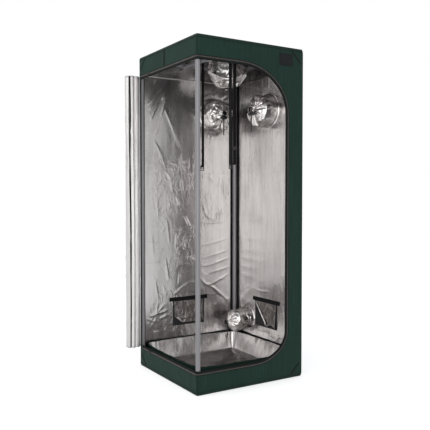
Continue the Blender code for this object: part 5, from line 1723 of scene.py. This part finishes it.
@dataclass(frozen=True)
class Vent:
    """One low vent.

    Attributes:
        side: Which wall.
        seat: Point of the wall's inner face below its middle.
        inward: Direction into the tent.
        roll: Where the rolled corner's line starts down the side and ends along the hem, as shares
            of the flap's height and half width, and the roll's radius.
        rise: Height of the hem above the window's lower edge.
        hem_rise: How far the hem curves up at its right.
        seed: Seed of its creases.
    """

    side: Side
    seat: Array
    inward: Array
    roll: tuple[float, float, float]
    rise: float
    hem_rise: float
    seed: int

    def spot(self, u: Array, z: Array, d: Array | float) -> Array:
        """Points in the tent's frame, from places across, heights and depths off the wall."""
        u, z, d = (part[..., None] for part in np.broadcast_arrays(u, z, d))
        return self.seat + u * np.cross(UP, self.inward) + d * self.inward + z * UP

    def facing(self, points: Array, u: Array, z: Array) -> Surface:
        """A grid's surface, turned to face into the tent."""
        surface = grid_surface(points, stacked(u, z))
        if surface.normals.mean(0) @ self.inward < 0:
            surface.turn_over()
        return surface


@dataclass
class Vents:
    """Net, hook strip and hanging flap of each low vent."""

    finishes: Finishes
    cover: Cover
    margin: float = 0.005
    gap: float = 0.0003
    net: float = 0.0008
    strip: tuple[float, float, float] = (0.235, 0.021, 0.0015)
    flap: float = 0.0010
    wave: float = 0.003
    lean: float = 0.007

    def build(self) -> None:
        """Build both vents."""
        wall = self.cover.half - self.cover.fabric
        for vent in (Vent(Side.BACK, np.array([BACK_VENT_X, wall, 0.0]), -AXIS_Y, (0.66, -0.45, 0.0060),
                          rise=0.009, hem_rise=0.0, seed=301),
                     Vent(Side.RIGHT, np.array([wall, 0.0, 0.0]), -AXIS_X, (0.02, 0.42, 0.0055),
                          rise=0.003, hem_rise=0.014, seed=302)):
            self.net_and_strip(vent)
            self.hang_flap(vent)

    def net_and_strip(self, vent: Vent) -> None:
        """The net over the window and the hook strip above it, with its stitches.

        Args:
            vent: The vent.
        """
        name, half = vent.side.value, VENT_WIDTH / 2 + self.margin
        u, z = np.meshgrid(np.linspace(-half, half, 40),
                           np.linspace(VENT_LOW - self.margin, VENT_HIGH + self.margin, 28))
        surface = vent.facing(vent.spot(u, z, self.gap + self.net), u, z)
        held = {"held": "stretched", "rests_on": [f"{name}_wall"]}
        settle(cloth_sheet(f"{name}_net_cloth", surface, self.net, [self.finishes.net] * 2), "tent",
               f"{name}_vent_net", flat=(2 * half, z[-1, 0] - z[0, 0]), **held)
        wide, tall, thick = self.strip
        middle, depth = VENT_HIGH + self.margin / 2 + tall / 2, self.net + 2 * self.gap
        path = vent.spot(np.linspace(-wide / 2, wide / 2, 50), middle, depth + thick / 2)
        settle(band(f"{name}_hook_tape", path, -UP, thick, self.finishes.hook, tall, 11), "tent",
               f"{name}_hook_strip", flat=(wide, tall), **held)
        u = np.linspace(0.003 - wide / 2, wide / 2 - 0.003, 40)
        for k, share in enumerate((-0.42, 0.42)):
            settle(stitches(f"{name}_hook_stitches_{k}", vent.spot(u, middle + share * tall, depth + thick),
                            vent.inward, self.finishes.thread))

    def hang_flap(self, vent: Vent) -> None:
        """The flap, hanging below its strip, with its left lower corner rolled up.

        Beyond a slanting line the cloth follows a spiral: angle = distance / radius. The radius
        grows from two fifths of its size at the top to the whole at the hem, and shrinks by a
        twentieth for each radian of turn.

        Args:
            vent: The vent.
        """
        name = vent.side.value
        top, depth = VENT_HIGH + self.margin / 2 - 0.0006, self.net + 2 * self.gap
        bottom, width = VENT_LOW + vent.rise, VENT_WIDTH / 2 - 0.004
        share, down = np.meshgrid(np.linspace(-1, 1, 120), np.linspace(1, 0, 84))
        u, z = share * width, bottom + (top - bottom) * (1 - down)
        z = z + vent.hem_rise * down ** 3 * bell(share, 0.62, 0.26)
        start = np.array([-width, top - (top - bottom) * vent.roll[0]])
        way = unit(np.array([width * vent.roll[1], bottom]) - start)
        away = np.clip((u - start[0]) * way[1] - (z - start[1]) * way[0], 0, None)
        size = vent.roll[2] * (0.40 + 0.60 * down)
        turn = away / size
        radius = size * np.clip(1 - 0.05 * turn, 0.2, 1)
        slide = away - radius * np.sin(turn)
        lift = np.where(away > 0, size - radius * np.cos(turn), 0)
        wave = self.wave * down * (1 + np.sin(3.1 * share + 1.0)) / 2 + self.lean * down
        points = vent.spot(u - slide * way[1], z + slide * way[0], depth + self.flap + wave + lift)
        area = (-width, width, bottom, top)
        sharp = Creases(26, 0.0013, 0.0045, 0.05, area, vent.seed, 0.6, 2.6)
        soft = Creases(9, 0.0022, 0.011, 0.08, area, vent.seed + 9, math.pi / 2, 1.6)
        # The flap's face takes the film painted darker for the shade it mirrors, and its back the film
        # painted brighter for light.
        obj = cloth_sheet(f"{name}_flap_cloth", vent.facing(points, u, z), self.flap,
                          [self.finishes.shaded_flap_film, self.finishes.lit_sleeve_film],
                          lambda c: (sharp(c) + soft(c)) * np.clip((top - c[:, 1]) / 0.02, 0, 1))
        settle(obj, f"flap_{name}", f"{name}_vent_flap", flat=(2 * width, top - bottom), held="hung",
               rests_on=[f"{name}_wall"])


@dataclass
class Straps:
    """Two webbing straps folded over the hanging bar, each with a sewn loop."""

    finishes: Finishes
    cover: Cover
    bar_x: float = -0.042
    width: float = 0.025
    thickness: float = 0.0018
    end: float = 1.037
    loop: float = 1.040
    loop_radius: float = 0.004
    sewn: float = 0.014
    bar_radius: float = 0.011
    bar_drop: float = 0.010
    gap: float = 0.0003

    def build(self) -> None:
        """Build both straps."""
        self.strap("back", 0.105, 1)
        self.strap("front", -0.191, -1)

    def strap(self, place: str, y: float, side: int) -> None:
        """One strap: up the plain leg, half a turn over the bar, down, and round its loop.

        Args:
            place: Which strap.
            y: Its place along the bar.
            side: Side of the leg that ends in a loop.
        """
        bar = self.cover.height - self.cover.edge_round - self.bar_drop
        leg = self.bar_radius + self.gap + self.thickness / 2
        a = np.linspace(0, math.pi, 22)
        back = leg - self.thickness - self.gap
        line = np.vstack([
            stacked(-leg, np.linspace(self.end, bar, 60)),
            stacked(-leg * np.cos(a), bar + leg * np.sin(a))[1:-1],
            stacked(leg, np.linspace(bar, self.loop, 60)),
            stacked(leg + self.loop_radius * (np.cos(a) - 1), self.loop - self.loop_radius * np.sin(a))[1:],
            [[back, self.loop + 0.0072], [back, self.loop + self.sewn]]])
        path = stacked(self.bar_x + side * line[:, 0], y, line[:, 1])
        obj = settle(band(f"strap_{place}_webbing", path, -AXIS_Y * side, self.thickness, self.finishes.tape,
                          self.width, 11), f"strap_{place}", f"hanging_strap_{place}")
        face, half = self.bar_x + side * (leg + self.thickness / 2), self.width * 0.36
        low, high = self.loop + 0.005, self.loop + 0.013
        box = stacked(face, y + half * np.array([-1, 1, 1, -1, -1]), np.array([low, high, low, high, low]))
        border = np.vstack([fair(box[k:k + 2], 12, 0) for k in range(4)])
        tack = settle(stitches(f"strap_{place}_tack", border, AXIS_X * side, self.finishes.thread, 0.003),
                      f"strap_{place}")


@dataclass
class SewnTrim:
    """The bare label patch on the front and the webbing tie over the side doorway."""

    finishes: Finishes
    cover: Cover
    centre: tuple[float, float] = (0.1915, 1.537)
    size: tuple[float, float] = (0.079, 0.058)
    thickness: float = 0.0012
    corner: float = 0.004
    inset: float = 0.0032

    def build(self) -> None:
        """Build the patch, its border of stitches and the tie."""
        self.patch()
        self.tie()

    def patch(self) -> None:
        """The patch: a grid whose corners are pulled in to arcs and whose edges turn down."""
        half = np.array(self.size) / 2
        grid = stacked(*np.meshgrid(*(spaced([-h, h], 0.0013) for h in half)))
        over = np.clip(np.abs(grid) - (half - self.corner), 0, None)
        most = over.max(-1)
        pull = np.maximum(np.hypot(*np.moveaxis(over, -1, 0)) / np.where(most < 1e-9, 1, most), 1)[..., None]
        flat = grid - np.sign(grid) * over * (1 - 1 / pull)
        rise = self.thickness * np.clip((half - np.abs(grid)).min(-1) / 0.0012, 0, 1) ** 0.5
        y = -self.cover.half - self.cover.seam
        place = flat + self.centre
        surface = grid_surface(stacked(place[..., 0], y - 0.0002 - rise * 0.9, place[..., 1]), flat)
        surface.normals[:] = -AXIS_Y
        cloths = [self.finishes.patch, self.finishes.tape]
        obj = settle(cloth_sheet("patch_cloth", surface, self.thickness, cloths, none,
                                 lambda c: (rise.ravel() - self.thickness) * 0.9), "tent", "label_patch")
        box = np.array([(-1, -1), (1, -1), (1, 1), (-1, 1), (-1, -1)]) * (half - self.inset) + self.centre
        line = np.vstack([fair(box[k:k + 2], 30, 0) for k in range(4)])
        row = settle(stitches("patch_stitches", stacked(line[:, 0], y - self.thickness, line[:, 1]), -AXIS_Y,
                              self.finishes.thread, 0.003))

    def tie(self) -> None:
        """The webbing tie, sewn down at its top and hanging flat."""
        top, length, width, thick = 1.5828, 0.0726, 0.010, 0.0013
        z = np.linspace(top - length, top, 30)
        x = -self.cover.half - self.cover.seam - 0.0007 - 0.0006 * np.sin((top - z) * 36)
        settle(band("tie_webbing", stacked(x, 0.011, z), AXIS_Y, thick, self.finishes.tape, width),
               "tent", "door_tie", flat=(width, length), held="hung", rests_on=["left_top_band"])


# ---------------------------------------------------------------- studio


def seen(n: Nodes) -> Socket:
    """One for rays that show a thing directly or mirrored, zero for the rest."""
    return n.add("Math", 0, {"operation": "MAXIMUM"}, i0=n.add("LightPath", "Is Camera Ray"),
                 i1=n.add("LightPath", "Is Glossy Ray"))


@dataclass(frozen=True)
class StudioFloor(Finish):
    """Pale floor that glows a little where it is seen, so that it is as white as in the photograph."""

    name: str = "studio_floor"

    def sockets(self, n: Nodes) -> dict[str, object]:
        """A slow shift between two near whites, and the glow."""
        tone = n.add("TexNoise", Vector=n.add("TexCoord", "Object"), Scale=1.5, Detail=3.0)
        glow = n.add("Math", 0, {"operation": "MULTIPLY"}, i0=seen(n), i1=0.62)
        return {"Base Color": n.add("ValToRGB", stops=((0.3, "#F4F4F4"), (0.7, "#F9F9F9")), i0=tone),
                "Roughness": 0.85, "Emission Color": linear("#FFFFFF"), "Emission Strength": glow}


@dataclass
class Studio:
    """Pale floor, white surround, soft lamps and the camera of the photograph."""

    place: tuple[float, float, float] = (-1.6423, -2.6279, 0.898)
    yaw: float = 31.67
    pitch: float = 1.954
    lens: float = 51.34
    aim: tuple[float, float, float] = (0.0, 0.0, 0.8)

    def build(self) -> None:
        """Set up the floor, the world, the lamps and the camera."""
        edge = np.linspace(-9, 9, 13)
        points = stacked(*np.meshgrid(edge, edge), 0.0).reshape(-1, 3)
        new_mesh("studio_floor", points, grid_quads(13, 13), [StudioFloor().build()])
        self.world()
        self.lamp("front_softbox", (-2.3, -3.6, 1.25), 42.0, 2.6)
        self.lamp("left_softbox", (-2.9, 0.6, 2.0), 12.0, 1.4)
        camera = bpy.data.cameras.new("photo_camera")
        camera.lens = self.lens
        camera.sensor_width = 36.0
        camera.clip_end = 60.0
        obj = bpy.data.objects.new("photo_camera", camera)
        obj.location = self.place
        obj.rotation_euler = (math.radians(90 - self.pitch), 0.0, math.radians(-self.yaw))
        bpy.context.scene.collection.objects.link(obj)
        bpy.context.scene.camera = obj
        bpy.context.scene.view_settings.view_transform = "Standard"

    def world(self) -> None:
        """A white surround for what is seen or mirrored, and an even light for the rest."""
        world = bpy.data.worlds.new("studio")
        world.use_nodes = True
        bpy.context.scene.world = world
        n = Nodes(world.node_tree)
        n.tree.nodes.clear()
        shown = n.add("Math", 0, {"operation": "MAXIMUM"}, i0=seen(n),
                      i1=n.add("LightPath", "Is Transmission Ray"))
        even = n.add("Background", Color=(0.94, 0.97, 1.0, 1), Strength=0.45)
        white = n.add("Background", Color=linear("#FFFFFF"))
        n.add("OutputWorld", i0=n.add("MixShader", i0=shown, i1=even, i2=white))

    def lamp(self, name: str, place: tuple[float, float, float], power: float, size: float) -> None:
        """A soft square lamp that points at the tent's middle.

        Args:
            name: Its name.
            place: Where it stands.
            power: Watts.
            size: Side of the square.
        """
        light = bpy.data.lights.new(name, "AREA")
        light.energy = power
        light.size = size
        obj = bpy.data.objects.new(name, light)
        obj.location = place
        obj.rotation_euler = (Vector(self.aim) - Vector(place)).to_track_quat("-Z", "Y").to_euler()
        bpy.context.scene.collection.objects.link(obj)


# ---------------------------------------------------------------- hard parts and the whole


def dress_hard_parts(nodes: dict, finishes: Finishes) -> None:
    """Give every CAD node that stays its own finish.

    Args:
        nodes: The frame's nodes by name.
        finishes: The tent's finishes.
    """
    rules = [(("pole_", "floor_bar_", "roof_bar_", "hanging_bar"), finishes.coat),
             (("corner_", "back_cord_lock", "right_cord_lock", "back_lock_", "right_lock_", "strap_buckle_"),
              finishes.nylon),
             (("zip_slider_", "zip_pull_", "strap_glide_"), finishes.zinc)]
    for name, obj in nodes.items():
        for starts, material in rules:
            if name.startswith(starts):
                for slot in obj.material_slots:
                    slot.material = material
                LOG.info("%s: %s", name, material.name)


def main() -> None:
    """Build the tent's looks, piece by piece."""
    logging.basicConfig(level=logging.INFO, format="%(message)s")
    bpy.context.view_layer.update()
    finishes = Finishes()
    Studio().build()
    dress_hard_parts(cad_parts, finishes)
    cover = Cover(finishes)
    for part in (Ducts(finishes, cover), cover, Zip(finishes, cover), DoorBundle(finishes),
                 FloorTray(finishes), Vents(finishes, cover), Straps(finishes, cover),
                 SewnTrim(finishes, cover)):
        LOG.info("building %s", type(part).__name__)
        part.build()


if __name__ == "__main__":
    main()
